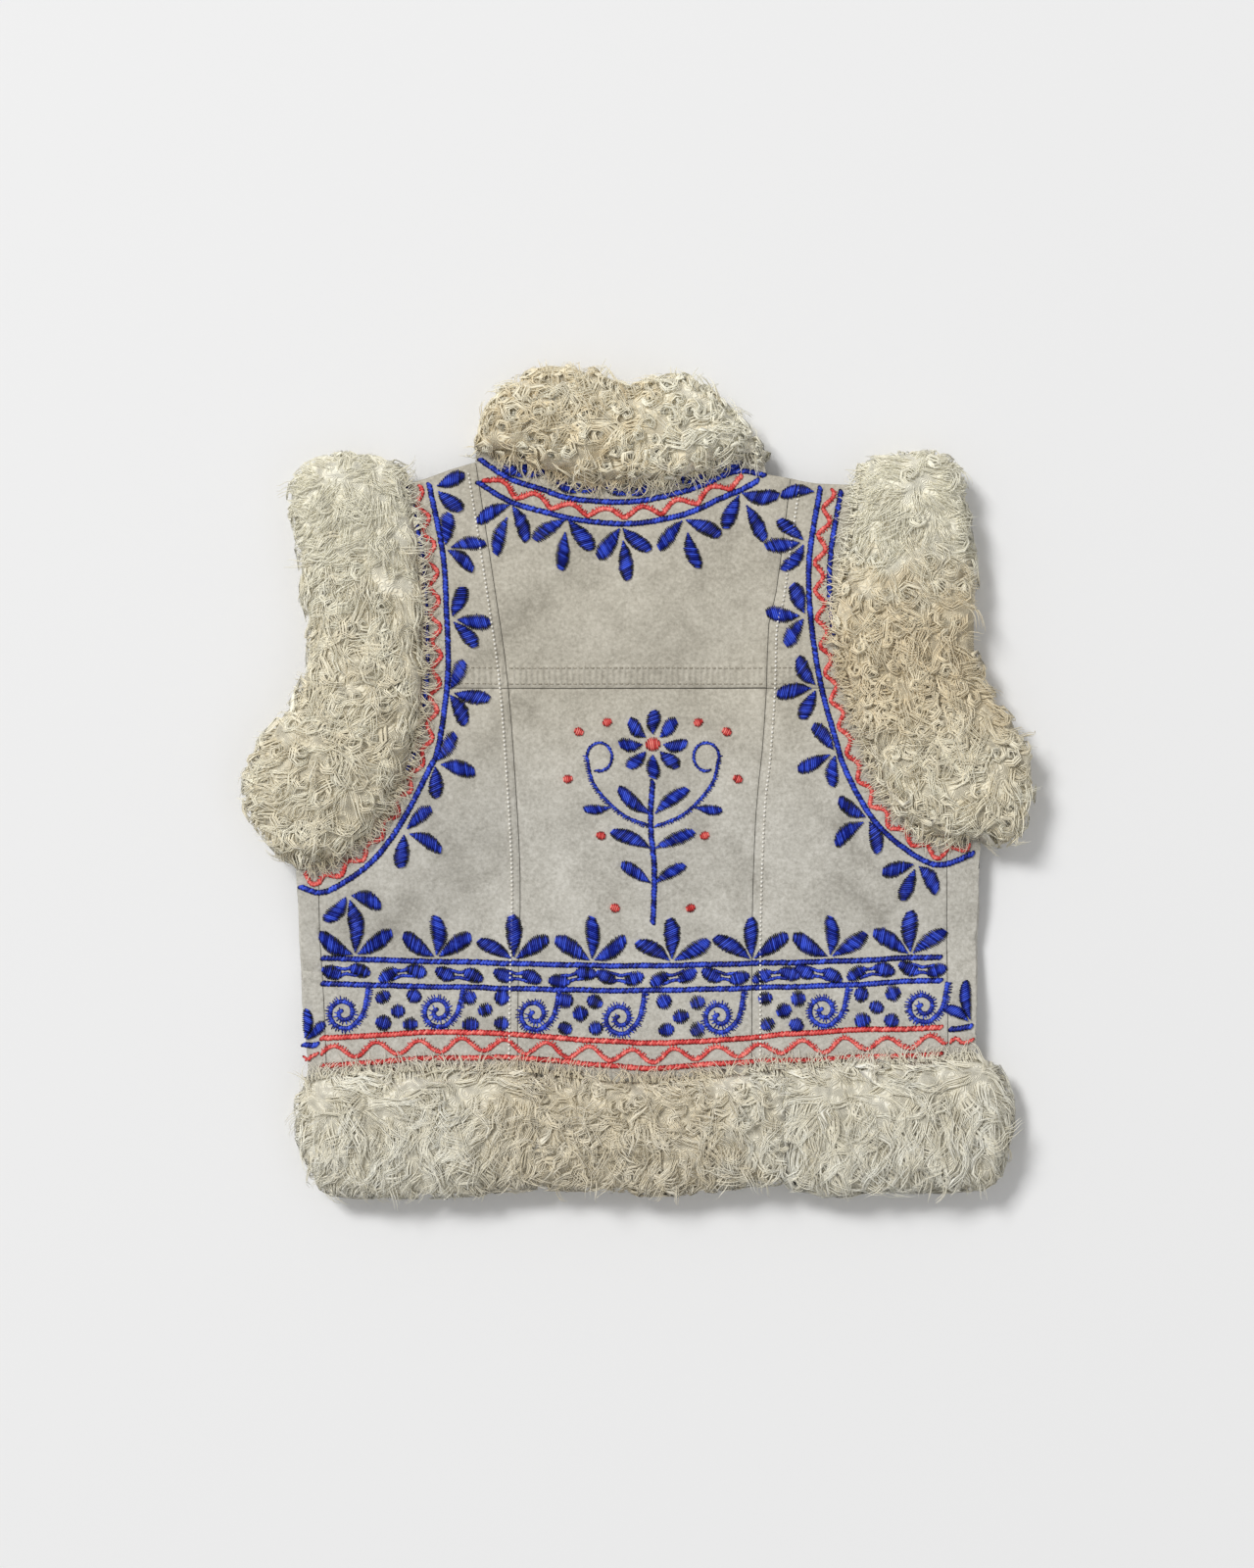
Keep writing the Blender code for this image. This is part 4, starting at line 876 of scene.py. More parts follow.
def flowerSpray():
    blue, red = [], []
    x, top = spray["x"], spray["top"]
    for i in range(spray["petals"]):
        angle = math.radians(90 + i * 360 / spray["petals"])
        blue += satinLeaf(x + spray["petalFrom"] * math.cos(angle), top + spray["petalFrom"] * math.sin(angle), angle,
                          spray["petal"], spray["petalWide"])
    red += satinDot(x, top, 9.5, 9.5)
    stem = smoothPath([(x, top - 23), (x - 1.5, top - 50), (x + 1.0, top - 80), (x, spray["stemFoot"])], 1.5)
    blue += ropeLine(stem)
    for way in (-1, 1):
        for below, turn, long, wide in spray["leaves"]:
            blue += satinLeaf(x + way * 1.5, top + below, math.radians(90 - way * turn), long, wide)
        arm = smoothPath([(x + way * 1.5, top - 52), (x + way * 20, top - 44), (x + way * 37, top - 26),
                          (x + way * 42, top - 8)], 1.5)
        blue += ropeLine(arm, width=1.4)
        loopTop = [(x + way * (42 - 8 * (1 - math.cos(a))), top - 8 + 9 * math.sin(a))
                   for a in np.linspace(0, 1.6 * math.pi, 12)]
        blue += ropeLine(np.array(loopTop), width=1.4)
        blue += hairStitches(arm, -way, 2.2, 1.6)
        for dx, dy in spray["berries"]:
            red += satinDot(x + way * dx, top + dy - 8, spray["berry"], spray["berry"])
        blue += satinLeaf(x + way * 27, top - 40, math.radians(90 - way * 95), 17.0, 7.0)
    return blue, red


for name, (blue, red) in (("hem", hemBorder()), ("armhole_left", armholeBorder("left")),
                          ("armhole_right", armholeBorder("right")), ("neck", neckBorder()),
                          ("flower", flowerSpray())):
    sewn("embroidery_" + name + "_blue", blue, blueThread)
    sewn("embroidery_" + name + "_red", red, redThread)


# Seam stitching: small white stitches beside the princess seams, and the yoke's double-stitched band
princess = {
    "left": [(-103.6, 202.5), (-95.7, 152.7), (-89.3, 110), (-83.8, 70.4), (-79.7, 21.7), (-75.4, -58.3),
             (-76.4, -130), (-76.9, -182)],
    "right": [(97.2, 192), (92.4, 160.6), (86.5, 117), (82.2, 98), (81, 58.3), (78.1, 15), (74.7, -18),
              (72.2, -91), (71.6, -180)],
}
topstitch = {
    "besideSeam": 5.3, "white": {"pitch": 2.8, "share": 0.6, "width": 1.5, "high": 1.3},
    "yokeRows": (72.2, 62.2), "yokeRuns": ((-121, -88), (-82, 80), (84, 113)),
    "band": {"pitch": 3.7, "share": 0.6, "width": 0.7, "high": 0.4},
}


def runningStitch(path, pitch, share, width, high):
    path = smoothPath([tuple(p) for p in path], pitch)
    made = []
    for before, after in zip(path, path[1:]):
        made.append(stitch(*before, *(before + (after - before) * share), width, high, 0.1))
    return made


white = []
for side, sign in (("left", 1), ("right", -1)):
    line = smoothPath(princess[side], 3.0)
    white += runningStitch(offsetPath(line, -topstitch["besideSeam"] * sign)[2:], **topstitch["white"])
band = []
for row in topstitch["yokeRows"]:
    for start, end in topstitch["yokeRuns"]:
        band += runningStitch([(start, row), ((start + end) / 2, row + 0.2), (end, row)], **topstitch["band"])
sewn("topstitch_white", white, whiteThread)
sewn("topstitch_band", band, bandThread)
bpy.data.objects.remove(stitchPiece)
print("embroidery done")


# Wool: an undercoat on each packed strip, and locks of strands combed over it by Geometry Nodes

lockKinds = {
    "curl": {"long": 27.0, "turns": 1.05, "rise": 2.0, "spread": 2.1, "gather": 0.62, "steps": 6},
    "ringlet": {"long": 30.0, "turns": 1.7, "rise": 2.2, "spread": 1.7, "gather": 0.72, "steps": 8, "thick": 0.45},
    "wave": {"long": 29.0, "turns": 0.0, "rise": 1.7, "spread": 2.9, "gather": 0.6},
    "smooth": {"long": 23.0, "turns": 0.0, "rise": 1.3, "spread": 3.4, "gather": 0.3},
    "plush": {"long": 13.0, "turns": 0.0, "rise": 1.7, "spread": 4.0, "gather": 0.1, "steps": 3, "thick": 0.32},
    "fuzz": {"long": 15.0, "turns": 0.0, "rise": 4.2, "spread": 4.5, "gather": -0.2, "count": 4, "thick": 0.3},
}
strand = {"count": 8, "steps": 5, "thick": 0.4}  # real fibre is a tenth as thick, which wouldn't show


def lockPath(kind, chance):  # flat, with its height above the undercoat in z
    look = lockKinds[kind]
    steps = look.get("steps", strand["steps"])
    points = [np.array([0.0, 0.0, -1.0])]
    heading, way = chance.uniform(-0.5, 0.5), chance.choice((-1, 1))
    place = np.zeros(2)
    swing, phase = chance.uniform(0.5, 1.0) if kind == "wave" else chance.uniform(0.1, 0.3), chance.uniform(0, 6.28)
    for i in range(steps):
        t = (i + 0.5) / steps
        if look["turns"]:
            heading += way * look["turns"] * 2 * math.pi / steps * (0.45 + 1.1 * t)
            long = look["long"] / steps * (1.25 - 0.75 * t)
            rise = look["rise"] * math.sin(math.pi * min(0.2 + t, 1.0)) + 0.5 + 0.7 * math.sin(heading)
        else:
            heading = swing * math.sin(phase + 2 * math.pi * t)
            long = look["long"] / steps
            rise = look["rise"] * math.sin(math.pi * (0.12 + 0.68 * t)) + 0.3
        place = place + long * np.array([math.cos(heading), math.sin(heading)])
        points.append(np.array([*place, rise]))
    return np.array(points)


def strandMesh(name, lines, thick):  # three-sided hairs that taper to their tips
    corners, faces, tips = [], [], []
    for line in lines:
        runs = np.gradient(line, axis=0)
        runs /= np.linalg.norm(runs, axis=1)[:, None]
        start, steps = len(corners), len(line) - 1
        for i, (point, run) in enumerate(zip(line, runs)):
            side = np.cross(run, (0.0, 0.0, 1.0))
            side /= max(np.linalg.norm(side), 1e-6)
            up = np.cross(side, run)
            t = i / steps
            for corner in range(3):
                turn = 2 * math.pi * corner / 3 + math.pi / 2
                corners.append(point + thick * (1.0 - 0.7 * t ** 2.2) * (side * math.cos(turn) + up * math.sin(turn)))
                tips.append(t)
        for i in range(steps):
            for corner in range(3):
                a, b = start + i * 3 + corner, start + i * 3 + (corner + 1) % 3
                faces.append((a, b, b + 3, a + 3))
        last = start + steps * 3
        faces.append((last, last + 1, last + 2))
    corners = np.array(corners) * mm
    mesh = bpy.data.meshes.new(name)
    mesh.from_pydata([tuple(c) for c in corners], [], faces)
    mesh.attributes.new("tip", "FLOAT", "POINT").data.foreach_set("value", np.array(tips))
    mesh.attributes.new("height", "FLOAT", "POINT").data.foreach_set("value", corners[:, 2])
    mesh.shade_smooth()
    return mesh


def lockMesh(name, kind, seed):
    chance = random.Random(seed)
    look = lockKinds[kind]
    core = lockPath(kind, chance)
    steps = len(core) - 1
    lines = []
    for number in range(look.get("count", strand["count"])):
        angle, far = chance.uniform(0, 6.28), look["spread"] * math.sqrt(chance.random())
        offset = np.array([far * math.cos(angle), far * math.sin(angle), chance.uniform(-0.5, 0.8)])
        phase, swing = chance.uniform(0, 6.28), chance.uniform(0.1, 0.4)
        stretch = chance.uniform(0.8, 1.15)
        line = []
        for i, point in enumerate(core):
            t = i / steps
            shake = swing * t * np.array(
                [math.sin(phase + 9 * t), math.cos(phase + 8 * t), 0.8 * math.sin(phase + 7 * t)])
            line.append(point * (1 + (stretch - 1) * t) + offset * (1 - look["gather"] * t) + shake)
        lines.append(np.array(line))
    return strandMesh(name, lines, look.get("thick", strand["thick"]))


def lockCollection(name, mix):  # mix: how many locks of each kind there are to pick from
    group = bpy.data.collections.new(name)
    bpy.context.scene.collection.children.link(group)
    seed = 11
    for kind, count in mix.items():
        for number in range(count):
            seed += 1
            label = f"{name}_{kind}_{number}"
            group.objects.link(bpy.data.objects.new(label, lockMesh(label, kind, seed)))
    return group


def woolTree():
    tree = bpy.data.node_groups.new("growLocks", "GeometryNodeTree")
    tree.interface.new_socket("Geometry", in_out="INPUT", socket_type="NodeSocketGeometry")
    tree.interface.new_socket("Locks", in_out="INPUT", socket_type="NodeSocketCollection")
    for label, value in (("Spacing", 5.0), ("Density", 30000.0), ("Scale Low", 0.8), ("Scale High", 1.2),
                         ("Swing", 0.5), ("Lay", 0.85)):
        tree.interface.new_socket(label, in_out="INPUT", socket_type="NodeSocketFloat").default_value = value
    tree.interface.new_socket("Seed", in_out="INPUT", socket_type="NodeSocketInt").default_value = 1
    tree.interface.new_socket("Wool", in_out="INPUT", socket_type="NodeSocketMaterial")
    tree.interface.new_socket("Geometry", in_out="OUTPUT", socket_type="NodeSocketGeometry")
    given = addNode(tree, "NodeGroupInput")
    cover = addNode(tree, "GeometryNodeInputNamedAttribute", {"Name": "cover"}, data_type="FLOAT")
    spots = addNode(tree, "GeometryNodeDistributePointsOnFaces", links={
        "Mesh": given.outputs["Geometry"], "Distance Min": given.outputs["Spacing"],
        "Density Max": given.outputs["Density"], "Density Factor": cover.outputs["Attribute"],
        "Seed": given.outputs["Seed"]}, distribute_method="POISSON")
    locks = addNode(tree, "GeometryNodeCollectionInfo", {"Separate Children": True, "Reset Children": True},
                    {"Collection": given.outputs["Locks"]})
    comb = addNode(tree, "GeometryNodeInputNamedAttribute", {"Name": "comb"}, data_type="FLOAT_VECTOR")
    upright = addNode(tree, "FunctionNodeAlignRotationToVector", links={"Vector": spots.outputs["Normal"]}, axis="Z")
    combed = addNode(tree, "FunctionNodeAlignRotationToVector", links={
        "Rotation": upright.outputs[0], "Vector": comb.outputs["Attribute"]}, axis="X", pivot_axis="Z")
    low = addNode(tree, "ShaderNodeMath", {1: -1.0}, {0: given.outputs["Swing"]}, operation="MULTIPLY")
    swing = addNode(tree, "FunctionNodeRandomValue", links={
        2: low.outputs[0], 3: given.outputs["Swing"], "Seed": given.outputs["Seed"]}, data_type="FLOAT")
    twist = addNode(tree, "FunctionNodeAxisAngleToRotation", {"Axis": (0, 0, 1)}, {"Angle": swing.outputs[1]})
    turned = addNode(tree, "FunctionNodeRotateRotation", links={
        "Rotation": combed.outputs[0], "Rotate By": twist.outputs[0]}, rotation_space="LOCAL")
    size = addNode(tree, "FunctionNodeRandomValue", {"Seed": 5}, {
        2: given.outputs["Scale Low"], 3: given.outputs["Scale High"]}, data_type="FLOAT")
    grown = addNode(tree, "GeometryNodeInstanceOnPoints", {"Pick Instance": True}, {
        "Points": spots.outputs["Points"], "Instance": locks.outputs[0], "Rotation": turned.outputs[0],
        "Scale": size.outputs[1]})
    tint = addNode(tree, "FunctionNodeRandomValue", {"Seed": 9}, data_type="FLOAT")
    tinted = addNode(tree, "GeometryNodeStoreNamedAttribute", {"Name": "tint"}, {
        "Geometry": grown.outputs[0], "Value": tint.outputs[1]}, domain="INSTANCE", data_type="FLOAT")
    real = addNode(tree, "GeometryNodeRealizeInstances", links={0: tinted.outputs[0]})
    # each strand is laid back on the undercoat at its own height, all but a share that stands off
    nearest = addNode(tree, "GeometryNodeProximity", links={0: given.outputs["Geometry"]}, target_element="FACES")
    normal = addNode(tree, "GeometryNodeInputNormal")
    outward = addNode(tree, "GeometryNodeSampleNearestSurface", links={
        "Mesh": given.outputs["Geometry"], "Value": normal.outputs[0]}, data_type="FLOAT_VECTOR")
    height = addNode(tree, "GeometryNodeInputNamedAttribute", {"Name": "height"}, data_type="FLOAT")
    raised = addNode(tree, "ShaderNodeVectorMath", links={
        0: outward.outputs["Value"], "Scale": height.outputs["Attribute"]}, operation="SCALE")
    laid = addNode(tree, "ShaderNodeVectorMath", links={0: nearest.outputs["Position"], 1: raised.outputs[0]},
                   operation="ADD")
    where = addNode(tree, "GeometryNodeInputPosition")
    mixed = addNode(tree, "ShaderNodeMix", links={
        "Factor": given.outputs["Lay"], 4: where.outputs[0], 5: laid.outputs[0]}, data_type="VECTOR")
    combedDown = addNode(tree, "GeometryNodeSetPosition", links={
        "Geometry": real.outputs[0], "Position": mixed.outputs[1]})
    painted = addNode(tree, "GeometryNodeSetMaterial", links={
        "Geometry": combedDown.outputs[0], "Material": given.outputs["Wool"]})
    addNode(tree, "NodeGroupOutput", links={0: painted.outputs[0]})
    return tree


growTree = woolTree()


# Lamb's wool: fine crimped fibre that lets light through, so its shadows stay soft and pale
woolTones = {
    "cream": ("#CBC0A2", "#F4EBD2", "#FDF9E6"), "hem": ("#CCC4AC", "#EDE7D3", "#FBF9ED"),
    "collar": ("#BFA87C", "#F7EACA", "#FFFBE8"),
}
woolLook = {
    "stops": (0.18, 0.42, 0.75), "base": 0.05, "patch": 15, "patchShare": 0.5, "lockShare": 0.2, "tipShare": 0.3,
    "underTip": 0.1, "swirl": 1.9, "drift": 13, "bend": 50, "palest": 0.3,
    "warm": "#EBD6B0", "ragged": 90, "warmFrom": 18, "warmTo": 72,
}


def makeWool(name, tones, warm, paler, under):
    look = woolLook
    material, tree, shader = newMaterial(name, 0.8, sheen=0.2, specular=0.3)
    place = addNode(tree, "ShaderNodeTexCoord").outputs["Object"]
    patch = addNode(tree, "ShaderNodeTexNoise", {"Scale": 1 / (look["patch"] * mm), "Detail": 3.0}, {"Vector": place})
    if under:  # swirls of fine lines, as coarse as the strands on top
        drift = addNode(tree, "ShaderNodeTexNoise", {"Scale": 1 / (look["drift"] * mm), "Detail": 1.0},
                        {"Vector": place})
        bent = addNode(tree, "ShaderNodeVectorMath", {1: (look["bend"] * mm,) * 3, 2: (0, 0, 0)},
                       {0: drift.outputs["Color"]}, operation="MULTIPLY")
        bent = addNode(tree, "ShaderNodeVectorMath", links={0: place, 1: bent.outputs[0]}, operation="ADD")
        swirl = addNode(tree, "ShaderNodeTexWave", {"Scale": 0.314 / (look["swirl"] * mm), "Distortion": 2.0,
                        "Detail": 1.0, "Detail Scale": 1.0}, {"Vector": bent.outputs[0]})
        tint, tip = swirl.outputs["Fac"], addNode(tree, "ShaderNodeValue").outputs[0]
        tip.default_value = look["underTip"]
        bump = addNode(tree, "ShaderNodeBump", {"Strength": 0.8, "Distance": 0.8 * mm}, {"Height": tint})
        tree.links.new(bump.outputs["Normal"], shader.inputs["Normal"])
    else:
        tint = addNode(tree, "ShaderNodeAttribute", attribute_name="tint").outputs["Fac"]
        tip = addNode(tree, "ShaderNodeAttribute", attribute_name="tip").outputs["Fac"]
    tone = addNode(tree, "ShaderNodeMath", {1: look["patchShare"], 2: look["base"]}, {0: patch.outputs["Fac"]},
                   operation="MULTIPLY_ADD")
    for share, source in (("lockShare", tint), ("tipShare", tip)):
        tone = addNode(tree, "ShaderNodeMath", {1: look[share]}, {0: source, 2: tone.outputs[0]},
                       operation="MULTIPLY_ADD")
    parts = addNode(tree, "ShaderNodeSeparateXYZ", links={0: place})
    if paler:  # towards one end, by its place in millimetres
        axis, start, end = paler
        top = addNode(tree, "ShaderNodeMapRange", {"From Min": start * mm, "From Max": end * mm, "To Min": 0.0,
                      "To Max": look["palest"]}, {"Value": parts.outputs[axis]}, interpolation_type="SMOOTHSTEP")
        tone = addNode(tree, "ShaderNodeMath", links={0: tone.outputs[0], 1: top.outputs[0]}, operation="ADD")
    colors = addNode(tree, "ShaderNodeValToRGB", links={"Fac": tone.outputs[0]})
    setRamp(colors, list(zip(look["stops"], tones)))
    base = colors.outputs["Color"]
    if warm:  # a stretch of warmer wool, by its place in millimetres, with a ragged edge
        axis, start, end, amount = warm
        ragged = addNode(tree, "ShaderNodeMath", {1: look["ragged"] * mm},
                         {0: patch.outputs["Fac"], 2: parts.outputs[axis]}, operation="MULTIPLY_ADD")
        near, far = look["warmFrom"], look["warmTo"]
        low = addNode(tree, "ShaderNodeMapRange", {"From Min": (start + near) * mm, "From Max": (start + far) * mm},
                      {"Value": ragged.outputs[0]}, interpolation_type="SMOOTHSTEP")
        high = addNode(tree, "ShaderNodeMapRange", {"From Min": (end + far) * mm, "From Max": (end + near) * mm},
                       {"Value": ragged.outputs[0]}, interpolation_type="SMOOTHSTEP")
        share = addNode(tree, "ShaderNodeMath", links={0: low.outputs[0], 1: high.outputs[0]}, operation="MULTIPLY")
        share = addNode(tree, "ShaderNodeMath", {1: amount}, {0: share.outputs[0]}, operation="MULTIPLY")
        warmer = addNode(tree, "ShaderNodeMix", links={"Factor": share.outputs[0], 6: base}, data_type="RGBA",
                         blend_type="MULTIPLY")
        warmer.inputs[7].default_value = hexColor(look["warm"])
        base = warmer.outputs[2]
    tree.links.new(base, shader.inputs["Base Color"])
    return material


hemWarmth = ("X", -95, 62, 0.28)
woolPieces = {  # join: the ends that meet the next strip; warm: along which axis, from, to and how much
    "collar_wool_back": {"wool": "tan", "tones": "collar", "mix": {"ringlet": 5, "curl": 3, "wave": 2},
                         "spacing": 5.8, "comb": (0, 0.6, 0), "swing": 1.2, "scale": (1.0, 1.5), "seed": 3,
                         "paler": ("X", -30, 70)},
    "armhole_wool_left_back": {"wool": "cream", "mix": {"curl": 3, "wave": 6, "smooth": 1}, "spacing": 5.3,
                               "comb": (-0.2, -0.6, 0), "swing": 0.5, "scale": (0.85, 1.3), "seed": 4,
                               "paler": ("Y", 60, 190), "plush": (105, 165)},
    "armhole_wool_right_back": {"wool": "cream", "mix": {"ringlet": 3, "curl": 3, "wave": 4}, "spacing": 5.6,
                                "comb": (0.2, -0.6, 0), "swing": 0.7, "scale": (0.9, 1.4), "seed": 5,
                                "paler": ("Y", 80, 190), "warm": ("Y", 34, 125, 0.36), "plush": (110, 168)},
    "hem_wool_back_left": {"wool": "cream", "tones": "hem", "mix": {"wave": 7, "smooth": 1}, "spacing": 4.8,
                           "comb": (0, -1, 0), "swing": 0.35, "scale": (0.85, 1.25), "seed": 6,
                           "warm": hemWarmth, "join": (-65,)},
    "hem_wool_back_center": {"wool": "tan", "tones": "hem", "mix": {"curl": 3, "wave": 6}, "spacing": 4.7,
                             "comb": (0, -1, 0), "swing": 0.6, "scale": (0.75, 1.15), "seed": 7,
                             "warm": hemWarmth, "join": (-65, 92)},
    "hem_wool_back_right": {"wool": "white", "tones": "hem", "mix": {"wave": 7, "smooth": 1}, "spacing": 4.8,
                            "comb": (0, -1, 0), "swing": 0.35, "scale": (0.85, 1.3), "seed": 8,
                            "warm": hemWarmth, "join": (92,)},
    "collar_wool_front_left": {"wool": "tan", "tones": "collar"},
    "collar_wool_front_right": {"wool": "tan", "tones": "collar"},
    "armhole_wool_left_front": {"wool": "cream", "mix": {"wave": 3, "curl": 1}, "spacing": 6.4,
                                "comb": (-0.3, -0.7, 0), "swing": 1.0, "scale": (0.8, 1.1), "seed": 9},
    "armhole_wool_right_front": {"wool": "cream", "mix": {"wave": 3, "curl": 1}, "spacing": 6.4,
                                 "comb": (0.3, -0.7, 0), "swing": 1.0, "scale": (0.8, 1.1), "seed": 10},
    "hem_wool_front_left": {"wool": "cream", "mix": {"wave": 3, "curl": 1}, "spacing": 6.4, "comb": (0, -1, 0),
                            "swing": 1.0, "scale": (0.8, 1.1), "seed": 12},
    "hem_wool_front_right": {"wool": "cream", "mix": {"wave": 3, "curl": 1}, "spacing": 6.4, "comb": (0, -1, 0),
                             "swing": 1.0, "scale": (0.8, 1.1), "seed": 13},
}
undercoat = {
    "voxel": 4.0, "lowerCoarser": 1.3, "upperInset": 3.6, "lowerInset": 2.2, "underInset": 0.8, "joinReach": 3.2,
    "joinGap": 0.2, "joinDip": 1.2, "lump": 2.6, "lumpPitch": 11.0, "swellPitch": 24.0, "strayPitch": 24,
}


def makeUndercoat(name, setting):
    upper = "_front" not in name
    piece = copyOfNode(name, "undercoat_" + name)
    remesh = piece.modifiers.new("remesh", "REMESH")
    remesh.mode = "VOXEL"
    remesh.voxel_size = undercoat["voxel"] * mm * (1.0 if upper else undercoat["lowerCoarser"])
    remesh.use_smooth_shade = True
    soften = piece.modifiers.new("soften", "SMOOTH")
    soften.factor = 0.5
    soften.iterations = 4
    baked(piece)
    mesh = piece.data
    inset = undercoat["upperInset" if upper else "lowerInset"]
    low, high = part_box(name)
    cover, plush, comb = [], [], []
    base = Vector(setting.get("comb", (0, -1, 0)))
    joins = setting.get("join", ())
    normals = [vert.normal.copy() for vert in mesh.vertices]
    for vert, normal in zip(mesh.vertices, normals):
        x, y, z = (value / mm for value in vert.co)
        pitch, swell = undercoat["lumpPitch"], undercoat["swellPitch"]
        lump = (noise.noise(Vector((x / pitch, y / pitch / 1.5, z / pitch)))
                + 0.7 * noise.noise(Vector((x / swell, y / swell, 4.0)))) * undercoat["lump"]
        lump = min(lump, inset - 0.6)
        atJoin = [j for j in joins if abs(x - j) < undercoat["joinReach"]]
        down = normal.z < -0.35
        push = normal * (undercoat["underInset"] if down else inset - lump) * mm
        if atJoin:  # strips meet end to end, so nothing is drawn back from the join
            push.x = 0.0
            vert.co.x = (atJoin[0] + math.copysign(undercoat["joinGap"], x - atJoin[0])) * mm
            if normal.z > -0.2:
                push.z -= undercoat["joinDip"] * mm * abs(normal.x)
        vert.co -= push
        vert.co.z = min(max(vert.co.z, low.z), high.z)
        grows = (normal.z > -0.2 if upper else abs(normal.z) < 0.7) and not (atJoin and abs(normal.x) > 0.8)
        start, end = setting.get("plush", (900, 901))  # from where to where the locks give way to short plush
        short = min(max((y - start) / (end - start), 0.0), 1.0)
        cover.append(1.0 - 0.85 * short if grows else 0.0)
        plush.append(short if grows else 0.0)
        flat = Vector((normal.x, normal.y, 0)) if not atJoin else Vector((0, normal.y, 0))
        stray = noise.noise_vector(Vector((x / undercoat["strayPitch"], y / undercoat["strayPitch"], 5.0)))
        comb.append(flat * 2.0 + base + Vector((stray.x, stray.y, 0)) * 1.7)
    mesh.attributes.new("cover", "FLOAT", "POINT").data.foreach_set("value", np.array(cover))
    mesh.attributes.new("plush", "FLOAT", "POINT").data.foreach_set("value", np.array(plush))
    mesh.attributes.new("comb", "FLOAT_VECTOR", "POINT").data.foreach_set("vector", np.array(comb).ravel())
    return piece


def keepOffFloor(mesh):  # the lowest hairs lie on the table
    places = np.empty(len(mesh.vertices) * 3)
    mesh.vertices.foreach_get("co", places)
    places = places.reshape(-1, 3)
    places[:, 2] = np.maximum(places[:, 2], 0.2 * mm)
    mesh.vertices.foreach_set("co", places.ravel())
    mesh.update()


def growFrom(base, layer, name, growth, material, seed):  # locks on a copy of the undercoat, as a plain mesh
    mixKey = json.dumps(growth["mix"])
    if mixKey not in lockSets:
        lockSets[mixKey] = lockCollection("locks" + str(len(lockSets)), growth["mix"])
    grown = meshObject(layer + "_" + name, base.data.copy(), material)
    if layer == "plush":  # it grows where the other locks don't
        shares = np.empty(len(grown.data.vertices), dtype=np.float32)
        grown.data.attributes["plush"].data.foreach_get("value", shares)
        grown.data.attributes["cover"].data.foreach_set("value", shares)
    modifier = grown.modifiers.new("grow", "NODES")
    modifier.node_group = growTree
    spacing, (low, high) = growth["spacing"] * mm, growth["scale"]
    for socket, value in {
        "Locks": lockSets[mixKey], "Density": 1.6 / spacing ** 2, "Wool": material, "Spacing": spacing,
        "Scale Low": low, "Scale High": high, "Swing": growth["swing"], "Lay": growth["lay"], "Seed": seed,
    }.items():
        setInput(modifier, growTree, socket, value)
    baked(grown, material)
    keepOffFloor(grown.data)
    return grown


def stripMaterials(setting):  # one pair, for the locks and the undercoat, for each kind and shading of wool
    tones, warm, paler = setting.get("tones", setting["wool"]), setting.get("warm"), setting.get("paler")
    key = (tones, warm, paler)
    if key not in woolMaterials:
        label = tones + "LambsWool" + (str(len(woolMaterials)) if warm or paler else "")
        woolMaterials[key] = [makeWool(label + part, woolTones[tones], warm, paler, under=bool(part))
                              for part in ("", "Under")]
    return woolMaterials[key]


fleeceLay = 0.93
fuzz = {"mix": {"fuzz": 6}, "spacing": 8.2, "scale": (0.7, 1.2), "swing": 1.2, "lay": 0.25, "seedStep": 40}
plush = {"mix": {"plush": 6}, "spacing": 3.9, "scale": (0.8, 1.2), "swing": 0.9, "lay": 0.85, "seedStep": 80}
lockSets = {}
woolMaterials = {}
for name, setting in woolPieces.items():
    material, underMaterial = stripMaterials(setting)
    base = makeUndercoat(name, setting)
    base.data.materials.clear()
    base.data.materials.append(underMaterial)
    layers = {}
    if "mix" in setting:
        layers["fleece"] = {**setting, "lay": fleeceLay, "seedStep": 0}
        if "_back" in name:
            layers["fuzz"] = fuzz
        if "plush" in setting:
            layers["plush"] = plush
    for layer, growth in layers.items():
        piece = growFrom(base, layer, name, growth, material, setting["seed"] + growth["seedStep"])
        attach(piece, "root")
        print(piece.name, sum(len(p.vertices) - 2 for p in piece.data.polygons), "triangles")
    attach(base, "root")
    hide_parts(name)


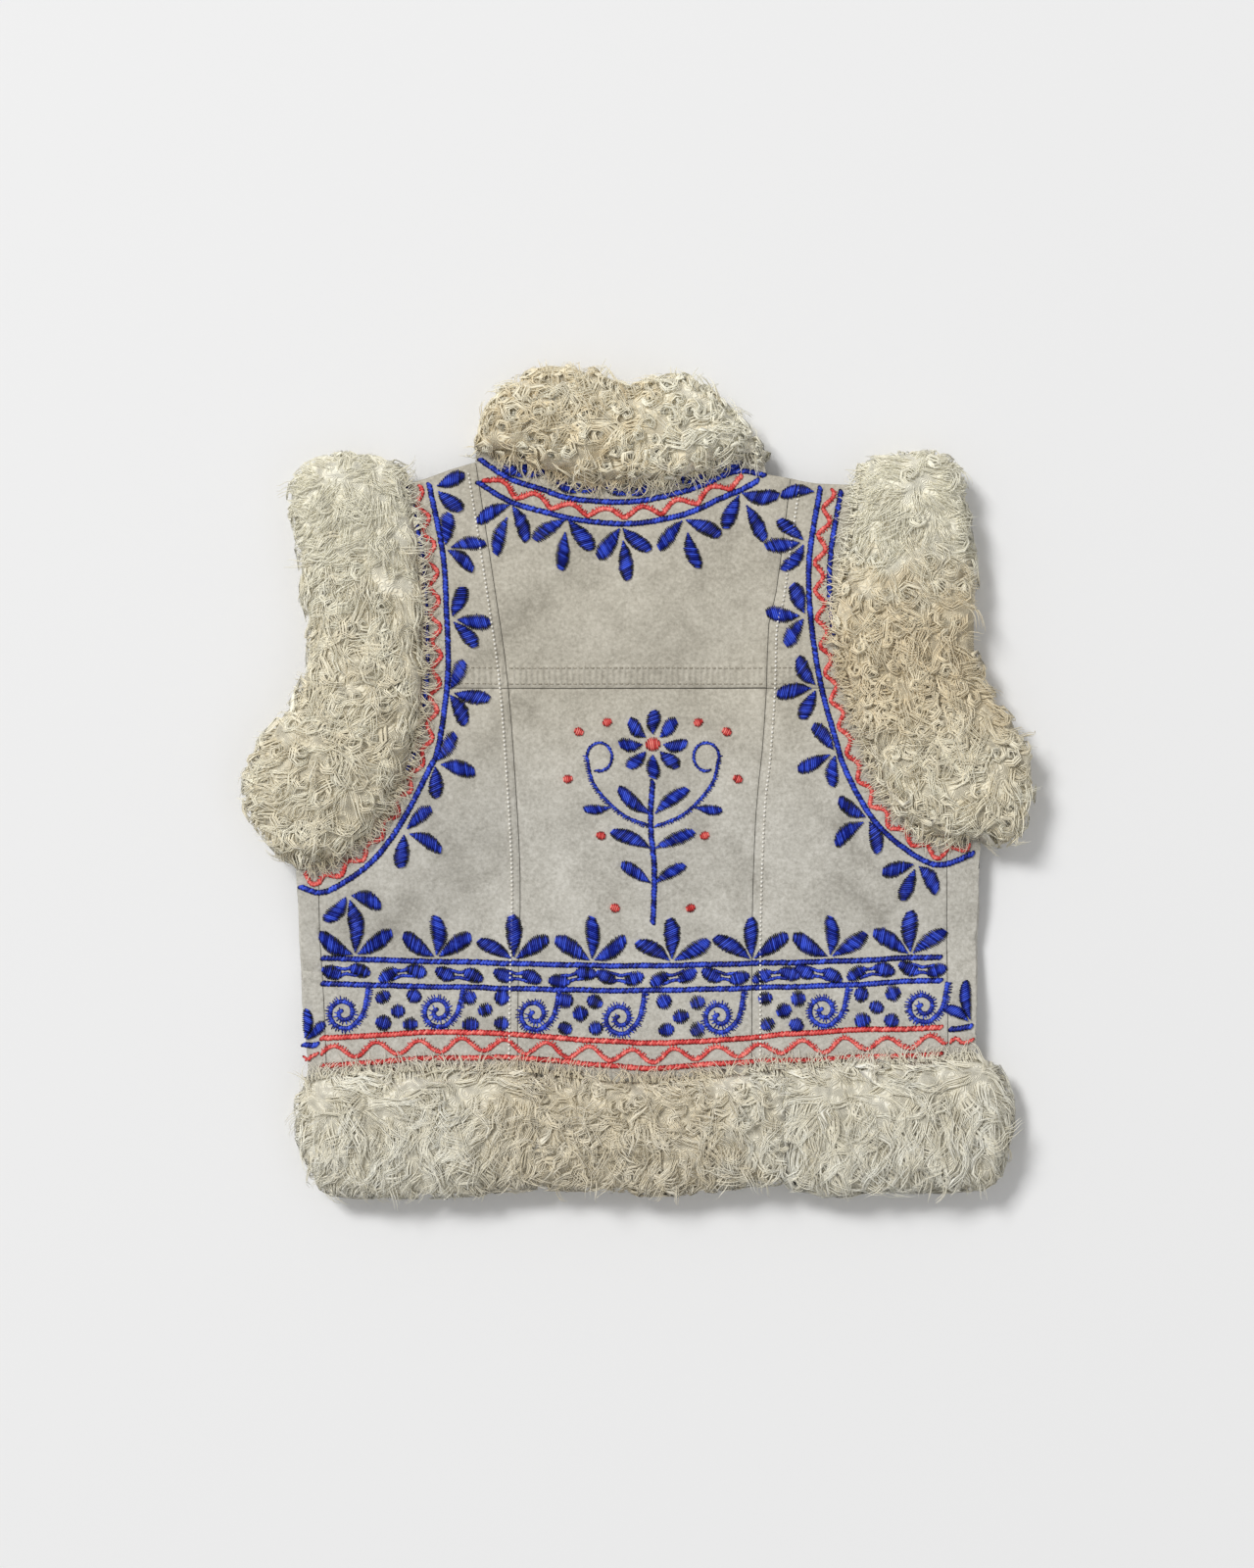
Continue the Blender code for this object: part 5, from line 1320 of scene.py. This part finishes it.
# Fringe: hairs that lie out of the wool's inner edges over the suede; side 1 is to the left of the path
fringe = {
    "step": 3.2, "hairs": 4, "long": (7.0, 15.0), "thick": 0.34, "rootBack": 3.5, "rootLift": 5.0, "archShading": 1.2,
    "off": 0.5,
}
fringeEdges = {
    "armhole_wool_left_back": (1, [(-147, 198), (-145.5, 186), (-139.5, 168), (-136.5, 146), (-134.5, 122),
                                   (-133.7, 98), (-132.9, 72), (-134.5, 48), (-139, 26), (-145.5, 4), (-156, -18),
                                   (-169, -34), (-184, -46), (-199, -53.5), (-212, -55)]),
    "armhole_wool_right_back": (-1, [(137, 198), (136, 187), (133, 165), (129, 143), (123.5, 121), (121, 99),
                                     (126, 74), (133, 50), (141.2, 24), (148, 5), (155, -9), (168, -26),
                                     (181, -36), (196, -39), (211, -35)]),
    "hem_wool_back_left": (1, [(-211, -187), (-203, -184), (-180, -181.5), (-150, -179.5), (-120, -178.5),
                               (-92, -178.8), (-65, -180)]),
    "hem_wool_back_center": (1, [(-65, -180), (-35, -184), (0, -186), (30, -185.5), (60, -181), (92, -177.5)]),
    "hem_wool_back_right": (1, [(92, -177.5), (120, -176.5), (150, -175), (180, -173.2), (202, -172), (214, -171.5)]),
    "collar_wool_back": (-1, [(-92, 204.5), (-75, 201.5), (-56, 193.5), (-36, 188.5), (-13, 187), (14, 187.5),
                              (35, 192), (50, 199.5), (65, 203.5), (78, 202)]),
}
for name, (side, points) in fringeEdges.items():
    setting = woolPieces[name]
    edge = smoothPath(points, fringe["step"])
    lines = []
    for before, after in zip(edge, edge[1:]):
        run = (after - before) / np.hypot(*(after - before))
        out = np.array([-run[1], run[0]]) * side
        lean = wobble(0.8)
        for hair in range(fringe["hairs"]):
            start = before + (after - before) * hand.random() - out * fringe["rootBack"]
            long, turn = hand.uniform(*fringe["long"]), wobble(0.5)
            angle = math.atan2(out[1], out[0]) + lean + wobble(0.3)
            place, line = start, []
            for t in np.linspace(0, 1, 6):
                lift = fringe["rootLift"] * (1 - t) ** 1.5 + fringe["archShading"] * math.sin(math.pi * t) + fringe["off"]
                line.append((*place, clothTop(*place) + lift))
                place = place + long / 5 * np.array([math.cos(angle), math.sin(angle)])
                angle += turn
            lines.append(np.array(line))
    label = "fringe_" + name
    hairs = meshObject(label, strandMesh(label, lines, fringe["thick"]), stripMaterials(setting)[0])
    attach(hairs, "root")
for group in lockSets.values():
    for piece in list(group.objects):
        bpy.data.objects.remove(piece)
    bpy.data.collections.remove(group)
print("wool done")
